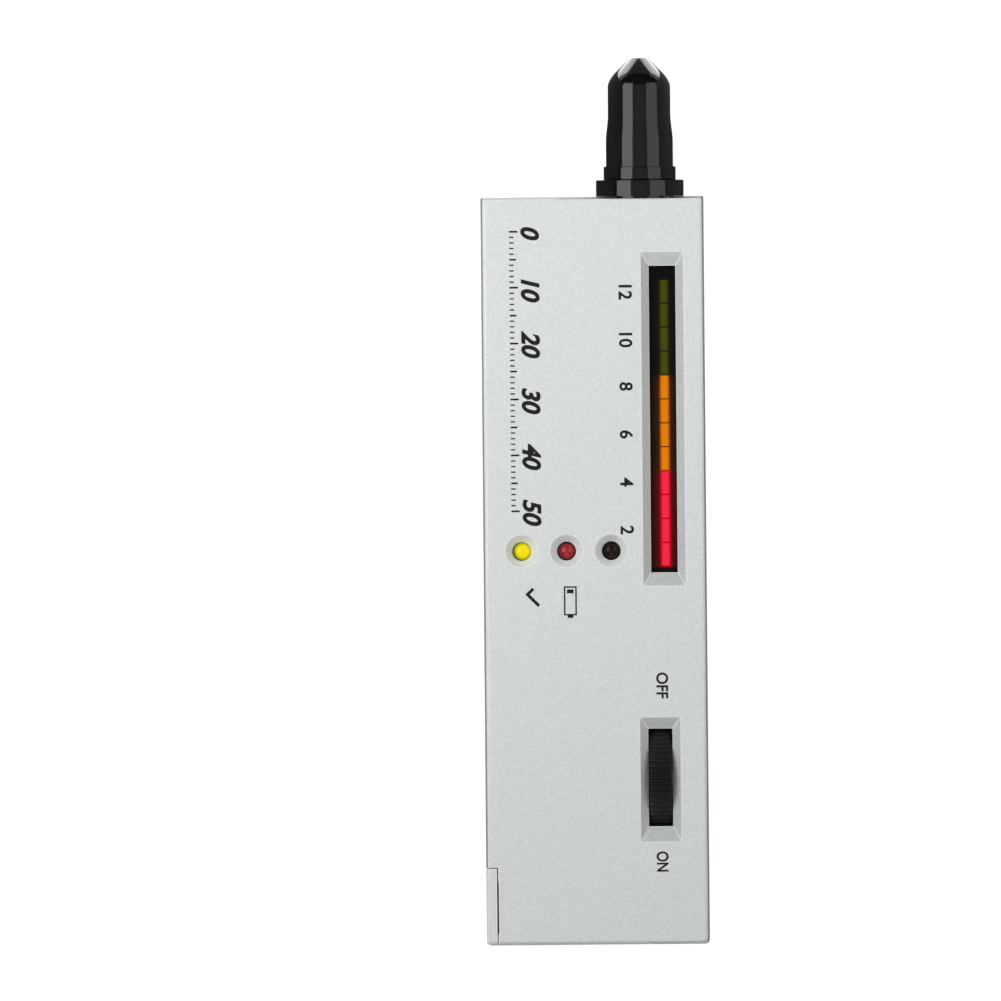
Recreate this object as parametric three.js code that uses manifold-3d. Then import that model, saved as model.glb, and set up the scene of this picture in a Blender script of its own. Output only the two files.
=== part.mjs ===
// Diamond tester: a hand-held tool with a spring-loaded probe under a black cap, a row of twelve
// light bars, three lamps and a ridged thumbwheel, in a two-part plastic case.
// Millimetres. X runs across the face, Y along the case towards the probe, Z out of the face.
// The tester lies on its back: the back face is Z = 0, and the origin is under its middle.

import * as THREE from "three";
import { mergeVertices } from "three/addons/utils/BufferGeometryUtils.js";
import Module from "manifold-3d";

const wasm = await Module();
wasm.setup();

// Fits that all pieces share
const clear = 0.25; // play round a part that lies loose in its bay
const fit = 0.15; // play between parts that seat in each other
const seam = 0.2; // gap between two mouldings of the case
const overrun = 1; // how far a cut runs past what it cuts

// Smoothness of round shapes
const roundSides = 36;
const smallSides = 16;
const wireSides = 6;
const leadSides = 8;
const cornerSteps = 3;
const edgeSteps = 4;
const domeSteps = 4;
const taperSteps = 4;
const shoulderSteps = 5;
const leadSteps = 16;
const shortLeadSteps = 12;
const ribbonSteps = 24;
const turnSteps = 10; // along one turn of the probe spring
const samplesPerTurn = 48; // where the space between its turns is measured

// Case
const wall = 2;
const shellStep = 0.34; // the back shell is proud of the front shell by this much, and bevelled
const draft = 0.1; // each face is smaller than its shell's rim by this much all round
const edgeRadius = 0.5; // along the long edges and ends of both faces
const topCorner = 0.3;
const bottomCorner = 0.8;
const lipInset = 0.9; // the lap joint between the two shells
const lipHeight = 1.2;

// Battery: a 9 V block
const batteryWidth = 26.5;
const batteryDepth = 17.5;
const batteryLength = 48.5; // over the studs
const batteryCorner = 2;
const studHeight = 2.6;
const studRadius = 2.9;
const socketRadius = 4.2;
const studPitch = 12.7;

// Battery snap
const snapHeight = 5;
const snapDepth = 12;
const snapOverhang = 1.2; // past each stud's rim
const leadRadius = 0.6;
const leadGap = 0.3; // between the end of a lead and what it is soldered to
const leadPitch = 6;
const leadRoom = 3.95; // between the snap and the screw bosses
const leadSwayShare = 0.3; // both leads bend to the right by this share of their pitch

// Battery door
const doorSide = 1.95; // its side leg shows on the face as a strip about this wide
const doorHeight = 13.85;
const doorSlot = 0.3; // the open part of the seam between the leg and the face
const doorSlotLength = 9.25;
const doorSlotUp = 2.2; // above the bottom end
const doorLegStep = 0.8; // the leg is smaller in the back shell, so no seam goes right through
const doorLegLap = 1; // where that begins, under the parting line
const doorPlate = 2;
const doorPastBattery = 0.65;
const tongueDepth = 0.8;
const tongueThickness = 0.8;
const tongueUp = 0.7; // above the bottom end
const gripCount = 3; // grooves for a fingertip in the side of the leg
const gripPitch = 1.6;
const gripWidth = 0.8;
const gripDepth = 0.4;
const gripDown = 2; // below the top of the leg

// Thumbwheel
const wheelRadius = 10;
const wheelWidth = 4;
const wheelProud = 0.8;
const wheelFloorGap = 0.8;
const wheelGap = 0.65; // between the battery and the wheel
const wheelUp = 29.92; // axis above the bottom end
const ridgeCount = 60;
const ridgeDepth = 0.45;
const crestShare = 0.3; // of a ridge's pitch
const grooveShare = 0.65;
const wheelEdge = 0.3;
const wheelRim = 2;
const wheelHub = 1.6;
const webRecess = 1.2;
const shaftRadius = 1.5;
const shaftFlat = 0.4;
const shaftHolePlay = 0.2;
const slotLength = 17.5;
const slotPlay = 0.17; // beside the wheel

// Potentiometer and its board
const potGap = 0.45; // between the wheel and the potentiometer
const potThickness = 2.3;
const potTopGap = 0.4; // under the face's inner side
const potTagHeight = 1.2;
const potTagWidth = 7;
const boardThickness = 1.6;
const dialBoardEnd = 0.8; // past the wheel at each end
const guideWidth = 1; // ribs that hold the dial board
const guideHeight = 3;
const guideLength = 2.5;

// Row of light bars
const segmentCount = 12;
const segmentPitch = 4.28;
const segmentGap = 0.25;
const segmentWidth = 1.66;
const segmentDepth = 3;
const segmentSink = 0.2; // below the face of the holder
const channelPlay = 0.05;
const barTopEnd = 2.82; // from the last segment to the end of the holder
const barBottomEnd = 1.5;
const holderWidth = 6.4;
const windowFromSide = 7.6; // from the right side of the case to the middle of the window
const barShift = 0.27; // the row stands to the right of the window's middle by this much
const openingCover = 0.4; // the case laps over each end of the holder
const openingWidth = 4.76;

// Sloping sides of the two windows
const bevelDepth = 1.4;
const displaySideBevel = 1.45;
const displayBottomBevel = 2.34;
const displayTopBevel = 2.46;
const slotSideBevel = 1.47;
const slotTopBevel = 2;
const slotBottomBevel = 2.7;

// Main board
const boardSideGap = 1;
const boardBottomEnd = 1.43; // past the holder
const boardTopEnd = 2.19;
const standoff = 6; // from the board to the inside of the face
const postRadius = 1.5;
const postInset = 2.3; // from the edges of the board

// Lamps
const lampPitch = 8;
const lampFromSide = 6.9; // from the left side of the case to the first lamp
const lampUp = 5.8; // above the bottom edge of the main board
const lampRadius = 1.55;
const lampFlange = 0.4;
const lampFlangeHeight = 1;
const lampLength = 5.2;
const lampSink = 0.4; // top of the dome below the face
const legPitch = 2.54;
const legThickness = 0.5;
const sinkSlope = 1.25; // the countersink is this much wider all round than the hole
const sinkDepth = 1.3;

// Screws and their bosses
const bossRadius = 3.5;
const bossInWall = 0.5;
const bossGap = 0.5; // between a boss and the main board
const bottomBossUp = 6.6; // above the bottom end
const screwSeat = 3.4; // from the back face to the underside of the head
const screwLength = 10;
const shankRadius = 1.15;
const headRadius = 2.4;
const headHeight = 1.6;
const headDome = 0.6;
const crossWidth = 0.7;
const crossDepth = 0.8;
const screwPoint = 1.5;
const screwHolePlay = 0.3;
const ribThickness = 1.5;
const ribHeight = 6;

// Nose and probe, from the inside outwards
const noseFromSide = 11.4; // from the right side of the case to the axis
const tipRadius = 0.8;
const tipPoint = 1.6;
const tipBluntRadius = 0.4;
const tipBluntLength = 0.4;
const tipReach = 2.5; // past the nose
const tipPlay = 0.2;
const plungerRadius = 1.6;
const plungerLength = 8.1;
const plungerGap = 0.4; // in front of the plunger at rest
const heaterRadius = 0.75;
const heaterLength = 4.6;
const probePlay = 0.2;
const sleeveWall = 0.8;
const noseWall = 2.25;
const neckStep = 1;
const innerFlangeStep = 1.2;
const innerFlangeHeight = 1.6;
const tailWall = 1.65;
const tailLength = 7.6; // behind the top of the case
const guideBoreLength = 7;
const noseTipWall = 1.2;
const noseEdge = 0.5;
const seatTop = 7.5; // above the top of the case
const coneStep = 0.8;
const collarHeight = 2.85;
const collarGap = 0.1;
const collarStep = 1.4; // wider than the cap's foot
const plugSpigot = 3.3;
const plugHead = 1;
const plugToBoard = 1.3;
const springLength = 7.3;
const springTurns = 6;
const springWire = 0.4;
const springEndGap = 0.1;
const probeLeadRadius = 0.5;
const probeLeadDrop = 1.5;
const probeLeadRun = 4.2;

// Cap
const capPlay = 0.2;
const capFootPlay = 0.1; // between its foot and the collar
const capWall = 0.8;
const capFootStep = 0.45;
const capFootHeight = 2.5;
const capThick = 0.6; // the bore narrows by this much above its seat
const capStraight = 4.35; // height of the sleeve's straight part above the foot
const capWaist = 5; // height over which it narrows
const capTaper = 0.4; // and by how much
const capShoulder = 2.3;
const capShoulderShare = 0.36; // how steep it begins, against its mean
const capConeBase = 4.32;
const capConeLength = 2.8;
const capTipRadius = 1.5; // of the flat end
const capTipEdge = 0.35;
const capEndWall = 2.1;
const capEndClear = 1.8;
const capEndBore = 1.8;

// Parts on the main board
const buzzerRadius = 6;
const buzzerHeight = 7;
const buzzerPort = 1;
const buzzerPortDepth = 2;
const buzzerUp = 29; // above the bottom edge of the board
const buzzerFromLeft = 9.5;
const chipWidth = 6.4;
const chipHeight = 3.3;
const chipLift = 0.5;
const chipLegs = 7; // on each side of the smaller chip
const driverLegs = 9;
const chipEnd = 2;
const chipUp = 33;
const chipsApart = 10.4;
const chipFromLeft = 8;
const canRadius = 3.15;
const canHeight = 7;
const canUp = 9;
const canPitch = 8;
const canFromRight = 12;
const trimmerSize = 6.7;
const trimmerHeight = 5;
const trimmerSlot = 0.8;
const trimmerDown = 18; // below the top edge of the board

// Ribbon from the dial board to the main board
const ribbonThickness = 1;
const ribbonWidth = 3;
const ribbonGap = 1.1; // between the ribbon and the boss that it passes

// Sizes of the case that follow from what it holds
const sideWall = Math.max(wall, doorSide);
const dialStack = wheelGap + wheelWidth + potGap + potThickness + boardThickness;
const bodyWidth = sideWall + clear + batteryWidth + dialStack + clear + wall;
const wheelDepth = 2 * wheelRadius - wheelProud + wheelFloorGap + wall;
const bodyDepth = Math.max(2 * wall + 2 * clear + batteryDepth, wheelDepth);
const partingZ = bodyDepth / 2;
const rightSide = bodyWidth / 2;
const leftSide = -bodyWidth / 2;
const innerFace = bodyDepth - wall;

// Sizes of the nose that follow from the probe
const sleeveInner = plungerRadius + probePlay;
const sleeveOuter = sleeveInner + sleeveWall;
const noseBore = sleeveOuter + fit;
const tailRadius = noseBore + tailWall;
const seatRadius = noseBore + noseWall;
const neckRadius = seatRadius + neckStep;
const innerFlangeRadius = neckRadius + innerFlangeStep;
const capBore = seatRadius + capPlay;
const capSleeve = capBore + capWall;
const capFoot = capSleeve + capFootStep;
const collarRadius = capFoot + collarStep;
const springRear = plugSpigot - tailLength;
const plungerRear = springRear + springLength;
const plungerFront = plungerRear + plungerLength;
const boreEnd = plungerFront + plungerGap;
const noseReach = boreEnd + guideBoreLength;
const tipEnd = noseReach + tipReach;
const capInnerEnd = tipEnd + capEndClear;
const capReach = capInnerEnd + capEndWall;

// Places along the case, measured up from its bottom end and then shifted to the origin
const barLength = segmentCount * segmentPitch + barTopEnd + barBottomEnd;
const boardLength = boardBottomEnd + barLength + boardTopEnd;
const batteryFoot = doorPlate + clear;
const snapTopUp = batteryFoot + batteryLength - studHeight + fit + snapHeight;
const boardFoot = snapTopUp + leadRoom + 2 * bossRadius + bossGap;
const bodyLength = boardFoot + boardLength + plugToBoard + plugHead + tailLength;
const bodyBottom = -(bodyLength + capReach) / 2;
const bodyTop = bodyBottom + bodyLength;
const boardLow = bodyBottom + boardFoot;
const boardHigh = boardLow + boardLength;
const snapTop = bodyBottom + snapTopUp;

// Places across the case and in its depth
const batteryLeft = leftSide + sideWall + clear;
const batteryRight = batteryLeft + batteryWidth;
const batteryX = (batteryLeft + batteryRight) / 2;
const wheelLeft = batteryRight + wheelGap;
const wheelRight = wheelLeft + wheelWidth;
const wheelX = (wheelLeft + wheelRight) / 2;
const wheelY = bodyBottom + wheelUp;
const wheelZ = bodyDepth + wheelProud - wheelRadius;
const potLeft = wheelRight + potGap;
const potRight = potLeft + potThickness;
const potRadius = wheelRadius - wheelProud - wall - potTopGap;
const dialBoardHalf = wheelRadius + dialBoardEnd;
const boardHalf = rightSide - wall - boardSideGap;
const boardTopZ = innerFace - standoff;
const boardBackZ = boardTopZ - boardThickness;
const windowX = rightSide - windowFromSide;
const barX = windowX + barShift;
const barLow = boardLow + boardBottomEnd;
const barHigh = barLow + barLength;
const noseX = rightSide - noseFromSide;
const bossX = rightSide - wall - bossRadius + bossInWall;
const lowBossY = boardLow - bossGap - bossRadius;
const highBossY = boardHigh + bossGap + bossRadius;
const bosses = [
  [-bossX, highBossY],
  [-bossX, lowBossY],
  [bossX, lowBossY],
  [bossX, bodyBottom + bottomBossUp],
];

// Turns a closed geometry into a solid that can be cut and joined
function solidOf(geometry) {
  const bare = geometry.clone();
  bare.deleteAttribute("normal");
  bare.deleteAttribute("uv");
  const merged = mergeVertices(bare);
  const corners = merged.index.array;
  const triangles = [];
  for (let i = 0; i < corners.length; i += 3) {
    const [a, b, c] = corners.slice(i, i + 3);
    if (a !== b && b !== c && c !== a) triangles.push(a, b, c);
  }
  const vertProperties = new Float32Array(merged.attributes.position.array);
  const triVerts = new Uint32Array(triangles);
  return new wasm.Manifold(new wasm.Mesh({ numProp: 3, vertProperties, triVerts }));
}

// Turns a solid back into a geometry
function geometryOf(solid) {
  const mesh = solid.getMesh();
  const geometry = new THREE.BufferGeometry();
  geometry.setAttribute("position", new THREE.BufferAttribute(mesh.vertProperties, 3));
  geometry.setIndex(new THREE.BufferAttribute(mesh.triVerts, 1));
  geometry.computeVertexNormals();
  return geometry;
}

// A block between two corners
function block(x0, x1, y0, y1, z0, z1) {
  const box = new THREE.BoxGeometry(x1 - x0, y1 - y0, z1 - z0);
  return solidOf(box.translate((x0 + x1) / 2, (y0 + y1) / 2, (z0 + z1) / 2));
}

// An outline of [radius, height] pairs turned round the Y axis
function turned(outline, sides) {
  const points = outline.map(([radius, height]) => new THREE.Vector2(radius, height));
  return new THREE.LatheGeometry(points, sides);
}

// The same round the Z axis, at a place
function turnedUp(outline, sides, x, y, z) {
  return solidOf(turned(outline, sides).rotateX(Math.PI / 2).translate(x, y, z));
}

// The same round the X axis, at a place
function turnedAcross(outline, sides, x, y, z) {
  return solidOf(turned(outline, sides).rotateZ(-Math.PI / 2).translate(x, y, z));
}

// The outline of a plain rod
function rodOutline(radius, low, high) {
  return [[0, low], [radius, low], [radius, high], [0, high]];
}

// A skin through rings of points, closed by a flat fan at each end
function loft(rings) {
  const count = rings[0].length;
  const middle = (ring) => ring.reduce((sum, p) => sum.add(p), new THREE.Vector3()).divideScalar(count);
  const points = [...rings.flat(), middle(rings[0]), middle(rings[rings.length - 1])];
  const index = [];
  for (let j = 0; j < count; j += 1) {
    const next = (j + 1) % count;
    for (let i = 0; i < rings.length - 1; i += 1) {
      const low = i * count;
      const high = low + count;
      index.push(low + j, low + next, high + next, low + j, high + next, high + j);
    }
    const last = (rings.length - 1) * count;
    index.push(points.length - 2, next, j);
    index.push(points.length - 1, last + j, last + next);
  }
  const geometry = new THREE.BufferGeometry().setFromPoints(points);
  geometry.setIndex(index);
  return solidOf(geometry);
}

// One level of the case: a rectangle with rounded corners, drawn in from the parting line
function caseRing(inset, z) {
  const x = rightSide - inset;
  const high = bodyTop - inset;
  const low = bodyBottom + inset;
  const corners = [
    [x - topCorner, high - topCorner, topCorner],
    [topCorner - x, high - topCorner, topCorner],
    [bottomCorner - x, low + bottomCorner, bottomCorner],
    [x - bottomCorner, low + bottomCorner, bottomCorner],
  ];
  const ring = [];
  corners.forEach(([cornerX, cornerY, radius], quarter) => {
    for (let i = 0; i <= cornerSteps; i += 1) {
      const angle = (quarter + i / cornerSteps) * (Math.PI / 2);
      const across = cornerX + radius * Math.cos(angle);
      ring.push(new THREE.Vector3(across, cornerY + radius * Math.sin(angle), z));
    }
  });
  return ring;
}

// The outer form of the case, or the form that lies inset under it
function caseForm(inset) {
  const round = Math.max(edgeRadius - inset, 0);
  const steps = round > 0 ? edgeSteps : 0;
  const back = [];
  for (let i = 0; i <= steps; i += 1) {
    const angle = steps > 0 ? (i / steps) * (Math.PI / 2) : 0;
    back.push([round * (1 - Math.sin(angle)), inset + round * (1 - Math.cos(angle))]);
  }
  const front = back.map(([side, z]) => [side + shellStep, bodyDepth - z]).reverse();
  const levels = [...back, [0, partingZ - shellStep], [shellStep, partingZ], ...front];
  const drawnIn = (z) => draft * Math.abs(z / partingZ - 1);
  return loft(levels.map(([side, z]) => caseRing(inset + side + drawnIn(z), z)));
}

// The hollow of the case: straight walls, a wall's thickness inside the parting line
function hollow(play) {
  const side = wall + play;
  const low = bodyBottom + side;
  return block(leftSide + side, rightSide - side, low, bodyTop - side, wall, innerFace);
}

// A slice of space as large as the case, between two heights
function slab(low, high) {
  const side = rightSide + overrun;
  return block(-side, side, bodyBottom - overrun, bodyTop + overrun, low, high);
}

// The room that the battery door takes, grown by the gap round it
function doorRoom(gap) {
  const left = leftSide - overrun;
  const legRight = leftSide + doorSide + gap;
  const legTop = bodyBottom + doorHeight + gap;
  const low = bodyBottom - overrun;
  const frontLow = partingZ - doorLegLap - gap;
  const frontLeg = block(left, legRight, low, legTop, frontLow, bodyDepth + overrun);
  const backLeg = block(left, legRight - doorLegStep, low, legTop - doorLegStep, -overrun, partingZ + wall);
  const plateRight = batteryRight + doorPastBattery + gap;
  const plateLow = wall + seam - gap;
  const plateHigh = bodyDepth - plateLow;
  const plate = block(left, plateRight, low, bodyBottom + doorPlate + gap, plateLow, plateHigh);
  const tongueLow = bodyBottom + tongueUp - gap;
  const tongueHigh = tongueLow + tongueThickness + 2 * gap;
  const tongueBack = plateLow - tongueDepth;
  const tongue = block(left, plateRight, tongueLow, tongueHigh, tongueBack, plateHigh + tongueDepth);
  return frontLeg.add(backLeg).add(plate).add(tongue);
}

// The open part of the seam between the door's leg and the face
function openSeam() {
  const left = leftSide + doorSide;
  const low = bodyBottom + doorSlotUp;
  return block(left, left + doorSlot, low, low + doorSlotLength, innerFace - overrun, bodyDepth + overrun);
}

// Battery door: a side leg and an end plate that slides in grooves of the two shells
function batteryDoor() {
  let door = doorRoom(0).intersect(caseForm(0));
  const legTop = bodyBottom + doorHeight;
  for (let i = 0; i < gripCount; i += 1) {
    const high = legTop - gripDown - i * gripPitch;
    const deep = leftSide + gripDepth;
    door = door.subtract(block(leftSide - overrun, deep, high - gripWidth, high, wall, partingZ - wall));
  }
  return door;
}

// A level of a window: a rectangle, counter-clockwise
function rectangle(x0, x1, y0, y1, z) {
  return [[x0, y0], [x1, y0], [x1, y1], [x0, y1]].map(([x, y]) => new THREE.Vector3(x, y, z));
}

// A window through the face, with sides that slope out to the surface
function windowCut(x, halfWidth, low, high, side, lowEnd, highEnd) {
  const narrow = (z) => rectangle(x - halfWidth, x + halfWidth, low, high, z);
  const wide = (z) => rectangle(x - halfWidth - side, x + halfWidth + side, low - lowEnd, high + highEnd, z);
  return loft([
    narrow(innerFace - overrun),
    narrow(bodyDepth - bevelDepth),
    wide(bodyDepth),
    wide(bodyDepth + overrun),
  ]);
}

function displayWindow() {
  const low = barLow + openingCover;
  const high = barHigh - openingCover;
  const half = openingWidth / 2;
  return windowCut(windowX, half, low, high, displaySideBevel, displayBottomBevel, displayTopBevel);
}

function wheelWindow() {
  const half = wheelWidth / 2 + slotPlay;
  const low = wheelY - slotLength / 2;
  const high = wheelY + slotLength / 2;
  return windowCut(wheelX, half, low, high, slotSideBevel, slotBottomBevel, slotTopBevel);
}

function lampX(number) {
  return leftSide + lampFromSide + number * lampPitch;
}

// A countersunk hole for one lamp
function lampHole(number) {
  const hole = lampRadius + fit;
  const outline = [
    [0, -wall - overrun],
    [hole, -wall - overrun],
    [hole, -sinkDepth],
    [hole + sinkSlope, 0],
    [hole + sinkSlope, overrun],
    [0, overrun],
  ];
  return turnedUp(outline, roundSides, lampX(number), boardLow + lampUp, bodyDepth);
}

// The hole in the top end that clamps the neck of the nose
function neckHole() {
  const outline = rodOutline(neckRadius + fit, -wall - overrun, overrun);
  return solidOf(turned(outline, roundSides).translate(noseX, bodyTop, partingZ));
}

// Four places near the corners of the main board
function postPlaces() {
  const x = boardHalf - postInset;
  return [
    [-x, boardLow + postInset],
    [-x, boardHigh - postInset],
    [x, boardLow + postInset],
    [x, boardHigh - postInset],
  ];
}

// Ribs on the inside of one face, beside the dial board, from one height to another
function dialGuides(low, high) {
  const right = potRight - fit;
  const end = dialBoardHalf - guideLength;
  const lower = block(right - guideWidth, right, wheelY - dialBoardHalf, wheelY - end, low, high);
  const upper = block(right - guideWidth, right, wheelY + end, wheelY + dialBoardHalf, low, high);
  return lower.add(upper);
}

// A rib across the case that stops the battery snap, from one height to another
function bayRib(low, high) {
  const inWall = leftSide + wall / 2;
  return block(inWall, batteryRight, snapTop + clear, snapTop + clear + ribThickness, low, high);
}

// Back shell, with the screw columns, the board posts and the lip of the lap joint
function backShell() {
  const lip = caseForm(lipInset).intersect(slab(partingZ - lipHeight, partingZ + lipHeight));
  let shell = caseForm(0).intersect(slab(-overrun, partingZ - seam / 2));
  shell = shell.add(lip).subtract(hollow(0));
  const floor = wall / 2;
  for (const [x, y] of bosses) {
    const column = rodOutline(bossRadius, floor, partingZ - seam / 2);
    shell = shell.add(turnedUp(column, smallSides, x, y, 0));
  }
  for (const [x, y] of postPlaces()) {
    shell = shell.add(turnedUp(rodOutline(postRadius, floor, boardBackZ), smallSides, x, y, 0));
  }
  shell = shell.add(bayRib(floor, wall + ribHeight)).add(dialGuides(floor, wall + guideHeight));
  const headHole = headRadius + screwHolePlay;
  const shankHole = shankRadius + screwHolePlay;
  for (const [x, y] of bosses) {
    const hole = [
      [0, -overrun],
      [headHole, -overrun],
      [headHole, screwSeat],
      [shankHole, screwSeat],
      [shankHole, partingZ + overrun],
      [0, partingZ + overrun],
    ];
    shell = shell.subtract(turnedUp(hole, smallSides, x, y, 0));
  }
  return shell.subtract(neckHole()).subtract(doorRoom(seam));
}

// Front shell, with its windows, lamp holes, screw bosses and board posts
function frontShell() {
  const lapTop = partingZ + lipHeight + fit;
  const lap = caseForm(lipInset - fit).intersect(slab(partingZ - overrun, lapTop));
  let shell = caseForm(0).intersect(slab(partingZ + seam / 2, bodyDepth + overrun));
  shell = shell.subtract(hollow(0)).subtract(lap);
  const ceiling = bodyDepth - wall / 2;
  const rim = lap.subtract(hollow(fit));
  for (const [x, y] of bosses) {
    const column = turnedUp(rodOutline(bossRadius, partingZ + seam / 2, ceiling), smallSides, x, y, 0);
    shell = shell.add(column.subtract(rim));
  }
  for (const [x, y] of postPlaces().slice(0, 2)) {
    shell = shell.add(turnedUp(rodOutline(postRadius, boardTopZ, ceiling), smallSides, x, y, 0));
  }
  shell = shell.add(bayRib(innerFace - ribHeight, ceiling));
  shell = shell.add(dialGuides(innerFace - guideHeight, ceiling));
  const pilotTop = screwSeat + screwLength + fit;
  for (const [x, y] of bosses) {
    const pilot = rodOutline(shankRadius + fit, partingZ - overrun, pilotTop);
    shell = shell.subtract(turnedUp(pilot, smallSides, x, y, 0));
  }
  shell = shell.subtract(displayWindow()).subtract(wheelWindow());
  for (const number of [0, 1, 2]) shell = shell.subtract(lampHole(number));
  return shell.subtract(neckHole()).subtract(doorRoom(seam)).subtract(openSeam());
}

// A self-tapping screw that points up, with its seat at height 0
function screw() {
  const outline = [
    [0, -headHeight],
    [headRadius - headDome, -headHeight],
    [headRadius, headDome - headHeight],
    [headRadius, 0],
    [shankRadius, 0],
    [shankRadius, screwLength - screwPoint],
    [0, screwLength],
  ];
  const body = turnedUp(outline, smallSides, 0, 0, 0);
  const half = crossWidth / 2;
  const arm = headRadius - headDome;
  const bottom = crossDepth - headHeight;
  const across = block(-arm, arm, -half, half, -headHeight - overrun, bottom);
  const along = block(-half, half, -arm, arm, -headHeight - overrun, bottom);
  return body.subtract(across.add(along));
}

// A flat rectangle with round corners, in the XY plane
function roundedShape(width, height, corner) {
  const x = width / 2;
  const y = height / 2;
  const shape = new THREE.Shape();
  shape.absarc(x - corner, y - corner, corner, 0, Math.PI / 2);
  shape.absarc(corner - x, y - corner, corner, Math.PI / 2, Math.PI);
  shape.absarc(corner - x, corner - y, corner, Math.PI, Math.PI * 1.5);
  shape.absarc(x - corner, corner - y, corner, Math.PI * 1.5, Math.PI * 2);
  return shape;
}

// That rectangle drawn out along Y from one place to another
function roundedBar(width, depth, corner, low, high) {
  const options = { depth: high - low, bevelEnabled: false, curveSegments: cornerSteps };
  const bar = new THREE.ExtrudeGeometry(roundedShape(width, depth, corner), options);
  return solidOf(bar.rotateX(-Math.PI / 2).translate(batteryX, low, partingZ));
}

// A round stud or its pocket on the battery's end
function stud(side, radius, low, high) {
  const outline = rodOutline(radius, low, high);
  const x = batteryX + (side * studPitch) / 2;
  return solidOf(turned(outline, smallSides).translate(x, 0, partingZ));
}

// Battery: the block and its two snap studs
function battery() {
  const low = bodyBottom + batteryFoot;
  const top = low + batteryLength;
  const shoulder = top - studHeight;
  const body = roundedBar(batteryWidth, batteryDepth, batteryCorner, low, shoulder);
  const studLow = shoulder - overrun;
  return body.add(stud(-1, studRadius, studLow, top)).add(stud(1, socketRadius, studLow, top));
}

// Battery snap: the cap that presses on both studs
function batterySnap() {
  const low = snapTop - snapHeight;
  const width = studPitch + 2 * (socketRadius + snapOverhang);
  const plate = roundedBar(width, snapDepth, batteryCorner, low, snapTop);
  const pocketTop = low + studHeight;
  const first = stud(-1, studRadius + fit, low - overrun, pocketTop);
  return plate.subtract(first).subtract(stud(1, socketRadius + fit, low - overrun, pocketTop));
}

// A round section for leads and springs
function roundSection(radius, sides) {
  const points = [];
  for (let i = 0; i < sides; i += 1) {
    const angle = (i / sides) * Math.PI * 2;
    points.push(new THREE.Vector2(radius * Math.cos(angle), radius * Math.sin(angle)));
  }
  return new THREE.Shape(points);
}

// A tube or strip along a curve
function swept(section, path, steps) {
  return solidOf(new THREE.ExtrudeGeometry(section, { steps, extrudePath: path, bevelEnabled: false }));
}

function smoothPath(places) {
  return new THREE.CatmullRomCurve3(places.map((place) => new THREE.Vector3(...place)));
}

// A battery lead, from the snap to the edge of the main board
function batteryLead(side) {
  const x = batteryX + (side * leadPitch) / 2;
  const boardMiddle = boardTopZ - boardThickness / 2;
  const low = snapTop + leadGap;
  const high = boardLow - leadGap;
  const ribTop = snapTop + clear + ribThickness;
  const sway = leadPitch * leadSwayShare;
  return swept(roundSection(leadRadius, leadSides), smoothPath([
    [x, low, partingZ],
    [x, ribTop, partingZ],
    [x + sway, (ribTop + high) / 2, partingZ - leadPitch / 2],
    [x + sway, high - leadRoom / 2, boardMiddle - leadRadius],
    [x + sway, high, boardMiddle],
  ]), leadSteps);
}

// The ribbon from the dial board round the screw boss to the main board
function dialRibbon() {
  const half = ribbonThickness / 2;
  const z = boardTopZ - boardThickness / 2;
  const x = potRight + boardThickness / 2;
  const low = wheelY + dialBoardHalf + leadGap;
  const passX = bossX - bossRadius - ribbonGap - half;
  const passLow = lowBossY - bossRadius;
  const section = new THREE.Shape([
    new THREE.Vector2(-ribbonWidth / 2, -half),
    new THREE.Vector2(ribbonWidth / 2, -half),
    new THREE.Vector2(ribbonWidth / 2, half),
    new THREE.Vector2(-ribbonWidth / 2, half),
  ]);
  return swept(section, smoothPath([
    [x, low, z],
    [x, low + bossRadius, z],
    [(x + passX) / 2, (low + passLow) / 2 + bossRadius / 2, z],
    [passX, passLow, z],
    [passX, lowBossY + bossRadius / 2, z],
    [passX, boardLow - leadGap, z],
  ]), ribbonSteps);
}

// Main board
function mainBoard() {
  return block(-boardHalf, boardHalf, boardLow, boardHigh, boardBackZ, boardTopZ);
}

// Black holder with one long channel for the light bars
function barHolder() {
  const half = holderWidth / 2;
  const top = innerFace - fit;
  const body = block(barX - half, barX + half, barLow, barHigh, boardTopZ, top);
  const channelHalf = segmentWidth / 2 + channelPlay;
  const low = barLow + barBottomEnd - channelPlay;
  const high = barHigh - barTopEnd + channelPlay;
  const floor = top - segmentSink - segmentDepth;
  return body.subtract(block(barX - channelHalf, barX + channelHalf, low, high, floor, top + overrun));
}

// One light bar, counted from the bottom
function segment(number) {
  const half = segmentWidth / 2;
  const low = barLow + barBottomEnd + number * segmentPitch + segmentGap / 2;
  const top = innerFace - fit - segmentSink;
  const high = low + segmentPitch - segmentGap;
  return block(barX - half, barX + half, low, high, top - segmentDepth, top);
}

// A 3 mm lamp with its flange and its two legs down to the board
function lamp(number) {
  const x = lampX(number);
  const y = boardLow + lampUp;
  const top = bodyDepth - lampSink;
  const low = top - lampLength;
  const rim = lampRadius + lampFlange;
  const rimTop = low + lampFlangeHeight;
  const outline = [[0, low], [rim, low], [rim, rimTop], [lampRadius, rimTop]];
  for (let i = 0; i < domeSteps; i += 1) {
    const angle = (i / domeSteps) * (Math.PI / 2);
    outline.push([lampRadius * Math.cos(angle), top - lampRadius + lampRadius * Math.sin(angle)]);
  }
  outline.push([0, top]);
  let body = turnedUp(outline, smallSides, x, y, 0);
  const half = legThickness / 2;
  for (const side of [-1, 1]) {
    const legX = x + (side * legPitch) / 2;
    const legTop = low + lampFlangeHeight / 2;
    body = body.add(block(legX - half, legX + half, y - half, y + half, boardTopZ, legTop));
  }
  return body;
}

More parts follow.
